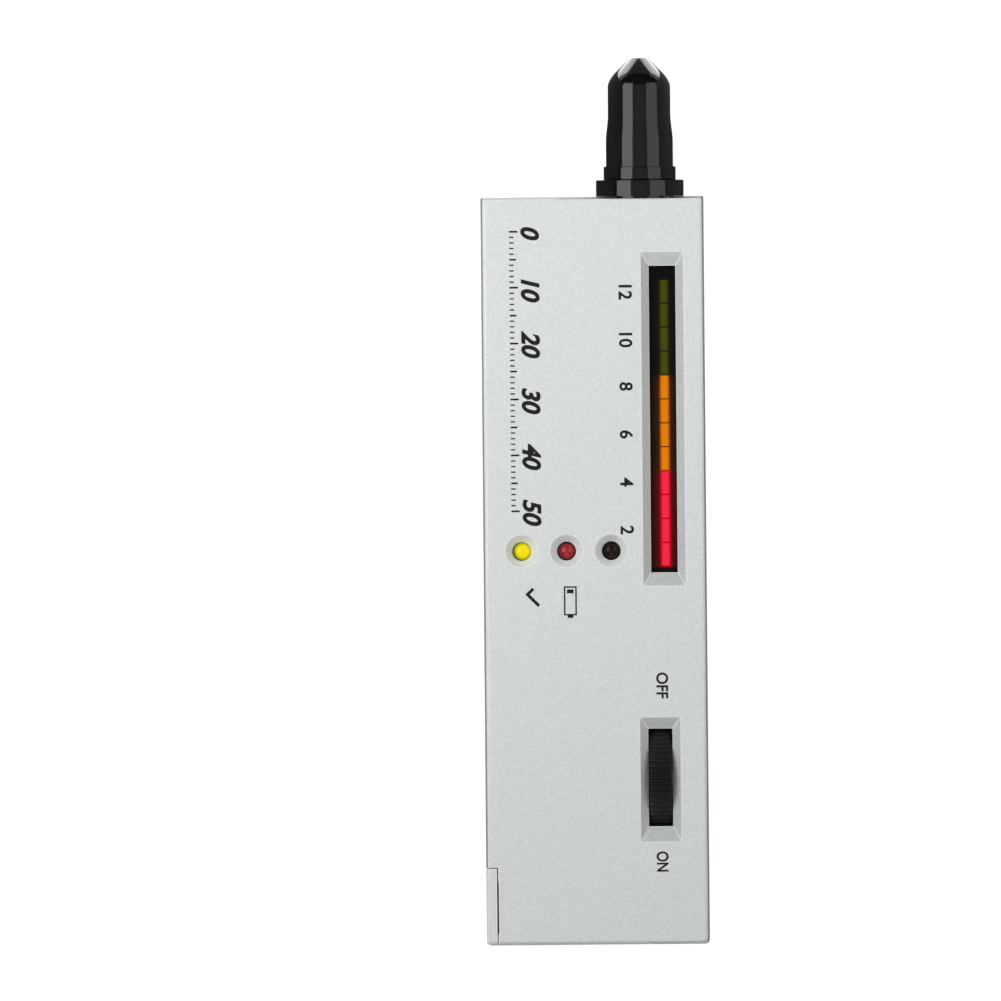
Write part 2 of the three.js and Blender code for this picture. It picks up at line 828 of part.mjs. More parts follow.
// A chip on two rows of legs; its length follows from the legs
function chip(legs, x) {
  const length = (legs - 1) * legPitch + 2 * chipEnd;
  const low = boardLow + chipUp - length / 2;
  const half = chipWidth / 2;
  const bottom = boardTopZ + chipLift;
  let body = block(x - half, x + half, low, low + length, bottom, bottom + chipHeight);
  const legHalf = legThickness / 2;
  const legTop = bottom + chipHeight / 2;
  for (let i = 0; i < legs; i += 1) {
    const y = low + chipEnd + i * legPitch;
    for (const side of [-1, 1]) {
      const outer = x + side * (half + legThickness);
      const inner = x + side * (half - legThickness);
      const left = Math.min(inner, outer);
      const right = Math.max(inner, outer);
      body = body.add(block(left, right, y - legHalf, y + legHalf, boardTopZ, legTop));
    }
  }
  return body;
}

// Buzzer under the board, with its sound port
function buzzer() {
  const bottom = boardBackZ - buzzerHeight;
  const outline = [
    [0, bottom + buzzerPortDepth],
    [buzzerPort, bottom + buzzerPortDepth],
    [buzzerPort, bottom],
    [buzzerRadius, bottom],
    [buzzerRadius, boardBackZ],
    [0, boardBackZ],
  ];
  return turnedUp(outline, roundSides, leftSide + buzzerFromLeft, boardLow + buzzerUp, 0);
}

// A round capacitor under the board
function capacitor(number) {
  const y = boardLow + canUp + number * canPitch;
  const outline = rodOutline(canRadius, boardBackZ - canHeight, boardBackZ);
  return turnedUp(outline, smallSides, rightSide - canFromRight, y, 0);
}

// Square trimmer under the board, with a slot for a screwdriver
function trimmer() {
  const x = rightSide - canFromRight;
  const y = boardHigh - trimmerDown;
  const half = trimmerSize / 2;
  const bottom = boardBackZ - trimmerHeight;
  const body = block(x - half, x + half, y - half, y + half, bottom, boardBackZ);
  const slotHalf = trimmerSlot / 2;
  const arm = half - trimmerSlot;
  return body.subtract(block(x - arm, x + arm, y - slotHalf, y + slotHalf, bottom - overrun, bottom + trimmerSlot));
}

// Dial board, upright beside the right wall, with a hole for the end of the shaft
function dialBoard() {
  const left = potRight;
  const right = left + boardThickness;
  const low = wheelY - dialBoardHalf;
  const high = wheelY + dialBoardHalf;
  const board = block(left, right, low, high, wall + fit, innerFace - fit);
  return board.subtract(shaftForm(shaftHolePlay, left - overrun, right + overrun, 0));
}

// A rod on the wheel's axis with a flat along it; the flat is left out where it is 0
function shaftForm(play, from, to, flat) {
  const radius = shaftRadius + play;
  const rod = turnedAcross(rodOutline(radius, from, to), smallSides, 0, wheelY, wheelZ);
  if (flat === 0) return rod;
  const cutLow = wheelZ + radius - flat;
  const side = radius + overrun;
  return rod.subtract(block(from - overrun, to + overrun, wheelY - side, wheelY + side, cutLow, cutLow + side));
}

// Potentiometer: a round housing with a tag block below it
function dialPot() {
  const bore = shaftRadius + fit;
  const outline = [[bore, potLeft], [potRadius, potLeft], [potRadius, potRight], [bore, potRight], [bore, potLeft]];
  const housing = turnedAcross(outline, roundSides, 0, wheelY, wheelZ);
  const low = wheelZ - potRadius - potTagHeight;
  const half = potTagWidth / 2;
  const tags = block(potLeft, potRight, wheelY - half, wheelY + half, low, wheelZ - potRadius + potTagHeight);
  return housing.add(tags);
}

// One side of the ridged rim: two points on each crest and one in the groove
function ridgeRing(x, drawnIn) {
  const ring = [];
  const corners = [[0, 0], [crestShare, 0], [grooveShare, ridgeDepth]];
  for (let i = 0; i < ridgeCount; i += 1) {
    corners.forEach(([share, cut]) => {
      const radius = wheelRadius - drawnIn - cut;
      const angle = ((i + share) / ridgeCount) * Math.PI * 2;
      ring.push(new THREE.Vector3(x, wheelY + radius * Math.cos(angle), wheelZ + radius * Math.sin(angle)));
    });
  }
  return ring;
}

// Thumbwheel: a ridged rim, a thinner web on the battery's side and a hub on the shaft
function thumbwheel() {
  let wheel = loft([
    ridgeRing(wheelLeft, wheelEdge),
    ridgeRing(wheelLeft + wheelEdge, 0),
    ridgeRing(wheelRight - wheelEdge, 0),
    ridgeRing(wheelRight, wheelEdge),
  ]);
  const hub = shaftRadius + wheelHub;
  const rim = wheelRadius - wheelRim;
  const web = [
    [hub, wheelLeft - overrun],
    [rim, wheelLeft - overrun],
    [rim, wheelLeft + webRecess],
    [hub, wheelLeft + webRecess],
    [hub, wheelLeft - overrun],
  ];
  wheel = wheel.subtract(turnedAcross(web, roundSides, 0, wheelY, wheelZ));
  return wheel.subtract(shaftForm(fit, wheelLeft - overrun, wheelRight + overrun, shaftFlat));
}

// Shaft with a flat: it turns with the wheel, and the potentiometer carries it
function dialShaft() {
  return shaftForm(0, wheelLeft, potRight + boardThickness / 2, shaftFlat);
}

// Nose: a cone with the cap's seat, a collar outside the case and a flange inside it
function noseHousing() {
  const innerTop = -wall - fit;
  const coneBase = seatRadius - coneStep;
  const tipHole = tipRadius + tipPlay;
  const tipWide = tipHole + noseTipWall;
  return solidOf(turned([
    [noseBore, -tailLength],
    [tailRadius, -tailLength],
    [tailRadius, innerTop - innerFlangeHeight],
    [innerFlangeRadius, innerTop - innerFlangeHeight],
    [innerFlangeRadius, innerTop],
    [neckRadius, innerTop],
    [neckRadius, collarGap],
    [collarRadius, collarGap],
    [collarRadius, collarHeight],
    [seatRadius, collarHeight],
    [seatRadius, seatTop],
    [coneBase, seatTop],
    [tipWide, noseReach - noseEdge],
    [tipWide - noseEdge, noseReach],
    [tipHole, noseReach],
    [tipHole, boreEnd],
    [noseBore, boreEnd],
    [noseBore, -tailLength],
  ], roundSides));
}

// Insulating sleeve that lines the bore
function insulator() {
  const low = springRear;
  const high = boreEnd - fit;
  return solidOf(turned([
    [sleeveInner, low],
    [sleeveOuter, low],
    [sleeveOuter, high],
    [sleeveInner, high],
    [sleeveInner, low],
  ], smallSides));
}

// Plunger, with a socket behind for the heater
function probePlunger() {
  const socket = heaterRadius + fit;
  const socketEnd = plungerRear + heaterLength + fit;
  return solidOf(turned([
    [socket, plungerRear],
    [plungerRadius, plungerRear],
    [plungerRadius, plungerFront],
    [0, plungerFront],
    [0, socketEnd],
    [socket, socketEnd],
    [socket, plungerRear],
  ], smallSides));
}

// Metal tip that touches the stone
function probeTip() {
  return solidOf(turned([
    [0, plungerFront],
    [tipRadius, plungerFront],
    [tipRadius, tipEnd - tipPoint],
    [tipBluntRadius, tipEnd - tipBluntLength],
    [0, tipEnd],
  ], smallSides));
}

// Heater bead in the plunger's socket
function heater() {
  return solidOf(turned(rodOutline(heaterRadius, plungerRear, plungerRear + heaterLength), smallSides));
}

// Plug that closes the rear of the nose and backs the spring
function springPlug() {
  return solidOf(turned([
    [0, -tailLength - plugHead],
    [tailRadius, -tailLength - plugHead],
    [tailRadius, -tailLength],
    [sleeveOuter, -tailLength],
    [sleeveOuter, springRear - fit],
    [0, springRear - fit],
  ], smallSides));
}

// The curve that the probe spring's wire follows, along Y
class SpringPath extends THREE.Curve {
  getPoint(share) {
    const radius = sleeveInner - probePlay - springWire / 2;
    const low = springRear + springEndGap + springWire / 2;
    const high = plungerRear - springEndGap - springWire / 2;
    const angle = share * springTurns * Math.PI * 2;
    const y = low + (high - low) * share;
    return new THREE.Vector3(radius * Math.cos(angle), y, radius * Math.sin(angle));
  }
}

// Least space between one turn of the spring and the next, measured on points
function springGap() {
  const points = new SpringPath().getSpacedPoints(springTurns * samplesPerTurn);
  let least = Infinity;
  for (let i = 0; i < points.length; i += 1) {
    for (let j = i + samplesPerTurn / 2; j < points.length; j += 1) {
      least = Math.min(least, points[i].distanceTo(points[j]) - springWire);
    }
  }
  return least;
}

// Probe spring: one unbroken coil
function probeSpring() {
  return swept(roundSection(springWire / 2, wireSides), new SpringPath(), springTurns * turnSteps);
}

// Lead from the plug to the underside of the main board
function probeLead() {
  const start = bodyTop - tailLength - plugHead - leadGap;
  const z = partingZ - probeLeadDrop;
  const end = boardBackZ - leadGap;
  return swept(roundSection(probeLeadRadius, leadSides), smoothPath([
    [noseX, start, z],
    [noseX, start - probeLeadRun / 2, z - probeLeadRadius / 2],
    [noseX, start - probeLeadRun, (z + end) / 2],
    [noseX, start - probeLeadRun, end],
  ]), shortLeadSteps);
}

// Cap: a foot, a sleeve with a slight waist, a rounded shoulder and a blunt cone
function capOutline() {
  const low = collarHeight + capFootPlay;
  const footTop = collarHeight + capFootHeight;
  const coneLow = capReach - capConeLength;
  const sleeveTop = coneLow - capShoulder;
  const sleeveEnd = capSleeve - capTaper;
  const outline = [[capBore, low], [capFoot, low], [capFoot, footTop], [capSleeve, footTop]];
  const waistLow = footTop + capStraight;
  for (let i = 0; i <= taperSteps; i += 1) {
    const share = i / taperSteps;
    const drawnIn = (1 - Math.cos(share * Math.PI)) / 2;
    outline.push([capSleeve - capTaper * drawnIn, waistLow + capWaist * share]);
  }
  for (let i = 0; i <= shoulderSteps; i += 1) {
    const share = i / shoulderSteps;
    const drawnIn = share * (capShoulderShare + (1 - capShoulderShare) * share);
    outline.push([sleeveEnd - (sleeveEnd - capConeBase) * drawnIn, sleeveTop + capShoulder * share]);
  }
  const narrow = capBore - capThick;
  return [
    ...outline,
    [capTipRadius + capTipEdge, capReach - capTipEdge],
    [capTipRadius - capTipEdge, capReach],
    [0, capReach],
    [0, capInnerEnd],
    [capEndBore, capInnerEnd],
    [narrow, sleeveTop],
    [narrow, seatTop + capThick],
    [capBore, seatTop + capPlay],
    [capBore, low],
  ];
}

function cap() {
  return solidOf(turned(capOutline(), roundSides));
}

// Colours and finishes
function finish(color, roughness, metalness = 0) {
  return new THREE.MeshStandardMaterial({ color, roughness, metalness, flatShading: true });
}

const silverPaint = () => finish("#cfd4d5", 0.45, 0.3);
const blackGloss = () => finish("#0d0d0f", 0.15);
const blackMatte = () => finish("#141416", 0.6);
const boardGreen = () => finish("#1f5a34", 0.5);
const steel = () => finish("#b9bcc0", 0.3, 1);

const tester = new THREE.Group();
tester.name = "diamond_tester";

// Adds one named piece to a group
function add(group, name, solid, material) {
  const mesh = new THREE.Mesh(geometryOf(solid), material);
  mesh.name = name;
  group.add(mesh);
  return mesh;
}

function addCase() {
  add(tester, "front_shell", frontShell(), silverPaint());
  add(tester, "back_shell", backShell(), silverPaint());
  add(tester, "battery_door", batteryDoor(), silverPaint());
  bosses.forEach(([x, y], i) => {
    const mesh = add(tester, `case_screw_${i + 1}`, screw(), steel());
    mesh.position.set(x, y, screwSeat);
  });
}

function addBoard() {
  add(tester, "main_board", mainBoard(), boardGreen());
  add(tester, "bar_holder", barHolder(), blackMatte());
  for (let i = 0; i < segmentCount; i += 1) {
    const colors = ["#ff2e50", "#f78e0c", "#4f5210"];
    const color = colors[Math.floor((i * colors.length) / segmentCount)];
    add(tester, `light_bar_${String(i + 1).padStart(2, "0")}`, segment(i), finish(color, 0.35));
  }
  add(tester, "yellow_lamp", lamp(0), finish("#ffe600", 0.2));
  add(tester, "red_lamp", lamp(1), finish("#a81c24", 0.2));
  add(tester, "dark_lamp", lamp(2), finish("#2a1810", 0.2));
  const chipX = leftSide + chipFromLeft;
  add(tester, "control_chip", chip(chipLegs, chipX), blackMatte());
  add(tester, "driver_chip", chip(driverLegs, chipX + chipsApart), blackMatte());
  add(tester, "buzzer", buzzer(), blackMatte());
  add(tester, "capacitor_1", capacitor(0), finish("#22305c", 0.4));
  add(tester, "capacitor_2", capacitor(1), finish("#22305c", 0.4));
  add(tester, "trimmer", trimmer(), finish("#2f5fa8", 0.5));
}

function addBattery() {
  add(tester, "battery", battery(), finish("#3c3f45", 0.4, 0.6));
  add(tester, "battery_snap", batterySnap(), blackMatte());
  add(tester, "red_lead", batteryLead(1), finish("#b01818", 0.5));
  add(tester, "black_lead", batteryLead(-1), blackMatte());
}

function addDial() {
  add(tester, "thumbwheel", thumbwheel(), blackMatte());
  add(tester, "dial_shaft", dialShaft(), steel());
  add(tester, "dial_pot", dialPot(), finish("#3a3a3e", 0.5));
  add(tester, "dial_board", dialBoard(), boardGreen());
  add(tester, "dial_ribbon", dialRibbon(), finish("#8a8d92", 0.5));
}

function addNose() {
  const nose = new THREE.Group();
  nose.position.set(noseX, bodyTop, partingZ);
  tester.add(nose);
  add(nose, "nose_housing", noseHousing(), blackGloss());
  add(nose, "insulator", insulator(), finish("#e9e6dc", 0.5));
  add(nose, "probe_plunger", probePlunger(), finish("#c9a04a", 0.3, 1));
  add(nose, "probe_tip", probeTip(), finish("#b87a50", 0.3, 1));
  add(nose, "heater", heater(), finish("#d8d2c4", 0.6));
  add(nose, "probe_spring", probeSpring(), steel());
  add(nose, "spring_plug", springPlug(), finish("#c9a04a", 0.3, 1));
  add(nose, "cap", cap(), blackGloss());
  add(tester, "probe_lead", probeLead(), finish("#d8d8d8", 0.5));
}

addCase();
addBoard();
addBattery();
addDial();
addNose();
console.log(`least gap between turns of the probe spring: ${springGap().toFixed(2)} mm`);

export default tester;
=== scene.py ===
# %% [markdown]
# A diamond tester lies on its back: a flat case in silver lacquer, a black nose with its cap, a row
# of light bars, three lamps and a ridged thumbwheel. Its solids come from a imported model, which
# gives every piece its place. This script gives them their surfaces, models the fine round pieces
# again with more facets, prints the face, and sets the studio light.

# %% Load the solids
import math

import bmesh
import bpy
from mathutils import Matrix, Vector


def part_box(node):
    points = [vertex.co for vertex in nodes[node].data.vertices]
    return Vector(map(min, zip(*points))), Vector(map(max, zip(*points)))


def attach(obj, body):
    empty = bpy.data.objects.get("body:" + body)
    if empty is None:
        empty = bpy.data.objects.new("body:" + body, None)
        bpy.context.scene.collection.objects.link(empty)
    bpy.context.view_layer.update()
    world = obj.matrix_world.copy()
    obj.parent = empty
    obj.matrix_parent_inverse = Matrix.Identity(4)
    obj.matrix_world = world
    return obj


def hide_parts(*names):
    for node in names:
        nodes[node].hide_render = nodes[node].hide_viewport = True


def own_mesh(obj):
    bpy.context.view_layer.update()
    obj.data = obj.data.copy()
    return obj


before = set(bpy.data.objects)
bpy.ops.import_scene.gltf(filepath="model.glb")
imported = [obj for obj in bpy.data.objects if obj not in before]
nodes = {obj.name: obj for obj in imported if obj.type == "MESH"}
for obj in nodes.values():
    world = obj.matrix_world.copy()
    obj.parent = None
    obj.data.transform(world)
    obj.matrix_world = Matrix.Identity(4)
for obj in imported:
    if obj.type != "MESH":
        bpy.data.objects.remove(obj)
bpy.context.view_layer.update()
MM = 0.001
print(len(nodes), "solids loaded")

# %% [markdown]
# Everything is placed from the solids themselves. The lowest and highest corners of a few of them
# give the lines that a draughtsman would start from: the face, the top end, and the nose's axis.

# %% Lines to measure from
case_low, case_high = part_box("back_shell")
FACE_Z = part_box("front_shell")[1].z
TOP_Y = case_high.y
cap_low, cap_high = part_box("cap")
NOSE_X = (cap_low.x + cap_high.x) / 2
NOSE_Z = (cap_low.z + cap_high.z) / 2
wheel_low, wheel_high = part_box("thumbwheel")
print(f"face {FACE_Z / MM:.1f} mm up, top end at {TOP_Y / MM:.1f} mm, nose axis at {NOSE_X / MM:.1f} mm")


# %% [markdown]
# Colours are written as on a paint card, in sRGB. Blender's shaders work with linear light, so one
# function turns a hex value into the numbers that a socket takes.

# %% Colours
def paint(code):
    channels = [int(code[i:i + 2], 16) / 255 for i in (1, 3, 5)]
    linear = [c / 12.92 if c <= 0.04045 else ((c + 0.055) / 1.055) ** 2.4 for c in channels]
    return (*linear, 1.0)


# %% [markdown]
# Every material starts as one Principled shader. Small helpers keep the rest short: one makes the
# material and sets what is the same all over, one adds a node, sets it and links it, and the last
# two find the shader and link a source to it.

# %% Helpers for materials
def new_material(name, color, roughness, **sockets):
    material = bpy.data.materials.new(name)
    material.use_nodes = True
    shader = material.node_tree.nodes["Principled BSDF"]
    shader.inputs["Base Color"].default_value = paint(color)
    shader.inputs["Roughness"].default_value = roughness
    for socket, value in sockets.items():
        shader.inputs[socket.replace("_", " ")].default_value = value
    return material


def add_node(material, kind, links=None, **settings):
    tree = material.node_tree
    node = tree.nodes.new(kind)
    for key, value in settings.items():
        if key in node.inputs:
            node.inputs[key].default_value = value
        else:
            setattr(node, key, value)
    for socket, source in (links or {}).items():
        tree.links.new(source, node.inputs[socket])
    return node


def shader_of(material):
    return material.node_tree.nodes["Principled BSDF"]


def link(material, source, socket):
    material.node_tree.links.new(source, shader_of(material).inputs[socket])


# %% [markdown]
# Most surfaces need the same thing: a grain of a known size that shifts the colour a little, and
# roughens and lifts the surface. The place comes from object coordinates, which are the model's
# own metres, so a grain size in millimetres turns straight into a scale.

# %% Grain
def grain(material, size_mm, detail=2.0, stretch=(1, 1, 1)):
    place = add_node(material, "ShaderNodeTexCoord").outputs["Object"]
    mapping = add_node(material, "ShaderNodeMapping", {"Vector": place})
    mapping.inputs["Scale"].default_value = stretch
    noise = add_node(
        material, "ShaderNodeTexNoise", {"Vector": mapping.outputs["Vector"]},
        Scale=1 / (size_mm * MM), Detail=detail, Roughness=0.6,
    )
    return noise.outputs["Fac"]


def ramp(material, source, stops):
    """Colours that follow a source. A stop is a position and a hex colour, the lowest first."""
    node = add_node(material, "ShaderNodeValToRGB", {"Fac": source})
    elements = node.color_ramp.elements
    for element, (position, code) in zip(elements, stops[:2]):
        element.position = position
        element.color = paint(code)
    for position, code in stops[2:]:
        elements.new(position).color = paint(code)
    return node.outputs["Color"]


def rescale(material, source, from_low, from_high, to_low=0.0, to_high=1.0):
    node = add_node(material, "ShaderNodeMapRange", {"Value": source})
    limits = {"From Min": from_low, "From Max": from_high, "To Min": to_low, "To Max": to_high}
    for socket, value in limits.items():
        node.inputs[socket].default_value = value
    return node.outputs["Result"]


def vary_roughness(material, source, low, high):
    link(material, rescale(material, source, 0.0, 1.0, low, high), "Roughness")


def lift(material, source, height_mm, strength):
    node = add_node(
        material, "ShaderNodeBump", {"Height": source},
        Strength=strength, Distance=height_mm * MM,
    )
    link(material, node.outputs["Normal"], "Normal")


# %% [markdown]
# The case is ABS, sprayed with silver lacquer: fine aluminium flakes in a clear binder. It has no
# mirror image in it, but it lights up towards the lamps, and seen closely it sparkles a little.
# A slightly metallic shader with a broad highlight does that. The flakes are a few hundredths of
# a millimetre and wouldn't show, so the grain is drawn at 0.3 mm. The slopes round the two windows
# are painted darker, as painted shade. The edges are painted as pale lines with less metal in them,
# as a painted highlight. A rounded copy of the surface finds them: an edge is near where its normal
# and the true one differ.

# %% Silver lacquer
PALE_SILVER = "#E9EDEC"
DARK_SILVER = "#DBDFDE"
METALLIC_SHARE = 0.05
FLAKE_SIZE = 0.3
FLAKE_STOPS = (0.36, 0.64)
EDGE_REACH = 0.36
EDGE_LIKENESS = (0.995, 0.95)
SLOPE_UPWARD = (0.98, 0.92)
WINDOWS_X = (6.5, 18.5)
WINDOWS_Y = (-68.0, 48.0)


def place_of(material, axis):
    place = add_node(material, "ShaderNodeTexCoord").outputs["Object"]
    return add_node(material, "ShaderNodeSeparateXYZ", {"Vector": place}).outputs[axis]


def between(material, axis, low_mm, high_mm):
    """One where the place lies between two limits on an axis, else zero."""
    node = add_node(material, "ShaderNodeMath", {0: place_of(material, axis)}, operation="COMPARE")
    node.inputs[1].default_value = (low_mm + high_mm) / 2 * MM
    node.inputs[2].default_value = (high_mm - low_mm) / 2 * MM
    return node.outputs[0]


def product(material, first, second):
    node = add_node(material, "ShaderNodeMath", {0: first, 1: second}, operation="MULTIPLY")
    return node.outputs[0]


def window_zone(material):
    return product(material, between(material, "X", *WINDOWS_X), between(material, "Y", *WINDOWS_Y))


def window_slopes(material):
    """One on the slopes round the windows, zero on the flat face and on the outer walls."""
    normal = add_node(material, "ShaderNodeTexCoord").outputs["Normal"]
    upward = add_node(material, "ShaderNodeSeparateXYZ", {"Vector": normal}).outputs["Z"]
    tilted = rescale(material, upward, *SLOPE_UPWARD)
    return product(material, tilted, window_zone(material))


def near_edges(material, reach_mm):
    """One at the edges of the solid, zero away from them."""
    rounded = add_node(material, "ShaderNodeBevel", Radius=reach_mm * MM, samples=8)
    true = add_node(material, "ShaderNodeNewGeometry")
    both = {0: rounded.outputs["Normal"], 1: true.outputs["Normal"]}
    likeness = add_node(material, "ShaderNodeVectorMath", both, operation="DOT_PRODUCT")
    return rescale(material, likeness.outputs["Value"], *EDGE_LIKENESS)


def blend_colors(material, share, first, second):
    """The first colour where share is zero and the second where it is one. A hex colour serves too."""
    node = add_node(material, "ShaderNodeMix", data_type="RGBA")
    for index, source in ((0, share), (6, first), (7, second)):
        if isinstance(source, str):
            node.inputs[index].default_value = paint(source)
        else:
            material.node_tree.links.new(source, node.inputs[index])
    return node.outputs[2]


def coat_of(material, flakes, dark, pale):
    return ramp(material, flakes, list(zip(FLAKE_STOPS, (dark, pale))))


def lacquer(name):
    material = new_material(name, PALE_SILVER, 0.34, Metallic=METALLIC_SHARE, Specular_IOR_Level=0.3)
    flakes = grain(material, FLAKE_SIZE, detail=3)
    vary_roughness(material, flakes, 0.31, 0.37)
    lift(material, flakes, 0.004, 0.3)
    return material, flakes, coat_of(material, flakes, DARK_SILVER, PALE_SILVER)


silver_lacquer, flakes, full_coat = lacquer("silver lacquer on ABS")
# Painted shade: the slopes round the windows take a darker colour.
painted_slope_shade = coat_of(silver_lacquer, flakes, "#BEC2C2", "#D4D8D7")
coat_and_shade = blend_colors(silver_lacquer, window_slopes(silver_lacquer), full_coat, painted_slope_shade)
# Painted highlight: pale lines along the edges.
edges = near_edges(silver_lacquer, EDGE_REACH)
link(silver_lacquer, blend_colors(silver_lacquer, edges, coat_and_shade, "#FFFFFF"), "Base Color")
link(silver_lacquer, rescale(silver_lacquer, edges, 0.0, 1.0, METALLIC_SHARE, 0.0), "Metallic")

# %% [markdown]
# The back shell stands out by a third of a millimetre all round. Along both sides its slanting rim
# is painted darker, as painted shade that marks the parting line.

# %% Silver lacquer of the back shell
RIM_Z = (10.7, 13.0)
INNER_X = (-19.6, 19.6)
back_lacquer, flakes, full_coat = lacquer("silver lacquer on ABS, with painted shade at the rim")
# Painted shade: the rim along both sides is darker.
painted_rim_shade = coat_of(back_lacquer, flakes, "#8A8E8E", "#9EA2A2")
inner = between(back_lacquer, "X", *INNER_X)
at_sides = rescale(back_lacquer, inner, 0.0, 1.0, 1.0, 0.0)
rim_shade_mask = product(back_lacquer, between(back_lacquer, "Z", *RIM_Z), at_sides)
link(back_lacquer, blend_colors(back_lacquer, rim_shade_mask, full_coat, painted_rim_shade), "Base Color")

# %% [markdown]
# The nose and the cap are black ABS from a polished mould. The colour is nearly nothing: what the
# eye sees is the lamps in it. Handling leaves a faint haze, which the roughness carries.

# %% Polished black plastic
polished_black = new_material("black ABS from a polished mould", "#0B0B0C", 0.1, Specular_IOR_Level=0.4)
haze = grain(polished_black, 2.5, detail=4)
vary_roughness(polished_black, haze, 0.05, 0.14)
lift(polished_black, grain(polished_black, 6.0), 0.01, 0.15)

# %% [markdown]
# The thumbwheel and the holder of the light bars are black nylon, matt from a spark-eroded mould.
# The pits of such a mould are about 0.1 mm, drawn at 0.15 mm so that they show.

# %% Matt black plastic
matt_black = new_material(
    "black nylon from a spark-eroded mould", "#0F120F", 0.5, Specular_IOR_Level=0.35,
)
pits = grain(matt_black, 0.15, detail=2)
vary_roughness(matt_black, pits, 0.42, 0.58)
lift(matt_black, pits, 0.006, 0.5)

# %% [markdown]
# A light bar is a diode under a tinted diffuser. Lit, it glows most along its middle and less at
# its rim. Unlit, it is a dull olive strip. The glow is emission whose colour follows the
# distance from the row's centre line. A lit bar sends little of the lamps' light back, so its own
# colour under the glow is dark.

# %% Light bars
bar_low, bar_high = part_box("light_bar_01")
BAR_X = (bar_low.x + bar_high.x) / 2
BAR_HALF = (bar_high.x - bar_low.x) / 2
BAR_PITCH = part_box("light_bar_02")[0].y - bar_low.y


def from_row(material):
    """The distance from the row's centre line, in half widths of a bar."""
    away = add_node(material, "ShaderNodeMath", {0: place_of(material, "X")}, operation="SUBTRACT")
    away.inputs[1].default_value = BAR_X
    size = add_node(material, "ShaderNodeMath", {0: away.outputs[0]}, operation="ABSOLUTE")
    share = add_node(material, "ShaderNodeMath", {0: size.outputs[0]}, operation="DIVIDE")
    share.inputs[1].default_value = BAR_HALF
    return share.outputs[0]


def lit_bar(name, base, middle, rim):
    material = new_material(name, base, 0.5, Specular_IOR_Level=0.05)
    glow = ramp(material, from_row(material), [(0.5, middle), (1.0, rim)])
    link(material, glow, "Emission Color")
    shader_of(material).inputs["Emission Strength"].default_value = 1.0
    return material


bar_red = lit_bar("red diffuser, lit", "#100204", "#F62644", "#B0102A")
bar_amber = lit_bar("amber diffuser, lit", "#100600", "#E27C06", "#9A4A04")
bar_unlit = new_material("olive diffuser, unlit", "#42430F", 0.5, Specular_IOR_Level=0.05)
unlit_tint = ramp(bar_unlit, from_row(bar_unlit), [(0.5, "#4A4B0D"), (1.0, "#2C2D0A")])
link(bar_unlit, unlit_tint, "Base Color")

# %% [markdown]
# The bars stand in a black holder. Beside the lit bars it has a weak painted red or amber glow, and
# beside the unlit ones a faint painted olive glow: emission in the holder's plastic, as painted
# light. The glow fades away from the row, over distances given in half widths of a bar.

# %% Holder of the light bars
holder_black = new_material("black ABS behind the light bars", "#070606", 0.6, Specular_IOR_Level=0.08)
lift(holder_black, grain(holder_black, 0.2), 0.01, 0.5)
ROW_MARGIN = 0.5
SHEEN_STARTS, SHEEN_TURNS, SHEEN_ENDS = 0.9, 1.35, 2.6
row_low = bar_low.y - ROW_MARGIN * MM
row_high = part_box("light_bar_12")[1].y + ROW_MARGIN * MM
along = rescale(holder_black, place_of(holder_black, "Y"), row_low, row_high)
# Painted glow: emission colour along the row, red, amber, then olive.
painted_glow_color = ramp(holder_black, along, [
    (0.0, "#180204"), (0.012, "#FF0010"), (0.32, "#FF0010"), (0.35, "#A05004"),
    (0.64, "#A05004"), (0.67, "#302C12"), (0.985, "#302C12"), (1.0, "#000000"),
])
link(holder_black, painted_glow_color, "Emission Color")
steep = rescale(holder_black, from_row(holder_black), SHEEN_STARTS, SHEEN_TURNS, 0.5, 0.09)
gentle = rescale(holder_black, from_row(holder_black), SHEEN_TURNS, SHEEN_ENDS, 1.0, 0.25)
link(holder_black, product(holder_black, steep, gentle), "Emission Strength")

# %% [markdown]
# The lamps are 3 mm domes of cast epoxy. The yellow one is lit: it glows most just right of the
# middle and is olive at its rim, partly its own glow and partly painted shade. The red and the dark
# one are unlit: tinted resin whose colour is painted darker towards the rim, as painted shade, with
# the softboxes in it. The colour follows the distance from a point just right of the middle, so the
# painted shade is deepest at the left.

# %% Lamps
LAMP_RADIUS = 1.55
GLOW_AND_SHADE_SHIFT = (0.22, 0.05)
GLOW_AND_SHADE_REACH = 1.2 * LAMP_RADIUS


def from_glow(material, name):
    """Zero at a lamp's brightest point, one at the reach of its glow and its painted shade."""
    low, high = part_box(name)
    squares = []
    for axis, middle, shift in zip("XY", (low + high) / 2, GLOW_AND_SHADE_SHIFT):
        place = place_of(material, axis)
        away = add_node(material, "ShaderNodeMath", {0: place}, operation="SUBTRACT")
        away.inputs[1].default_value = middle + shift * MM
        squares.append(product(material, away.outputs[0], away.outputs[0]))
    total = add_node(material, "ShaderNodeMath", dict(enumerate(squares)), operation="ADD")
    root = add_node(material, "ShaderNodeMath", {0: total.outputs[0]}, operation="SQRT")
    return rescale(material, root.outputs[0], 0.0, GLOW_AND_SHADE_REACH * MM)


lamp_yellow = new_material("yellow epoxy dome, lit", "#8A7C00", 0.2, Specular_IOR_Level=0.2)
yellow_share = from_glow(lamp_yellow, "yellow_lamp")
# Painted shade: the base colour darkens towards the rim.
yellow_tint_and_shade = ramp(lamp_yellow, yellow_share, [(0.5, "#8A7C00"), (0.95, "#3C3A04")])
link(lamp_yellow, yellow_tint_and_shade, "Base Color")
yellow_glow = ramp(lamp_yellow, yellow_share, [
    (0.5, "#EEDA00"), (0.7, "#BEB808"), (0.84, "#868206"), (0.96, "#3C3E04"),
])
link(lamp_yellow, yellow_glow, "Emission Color")
shader_of(lamp_yellow).inputs["Emission Strength"].default_value = 0.82


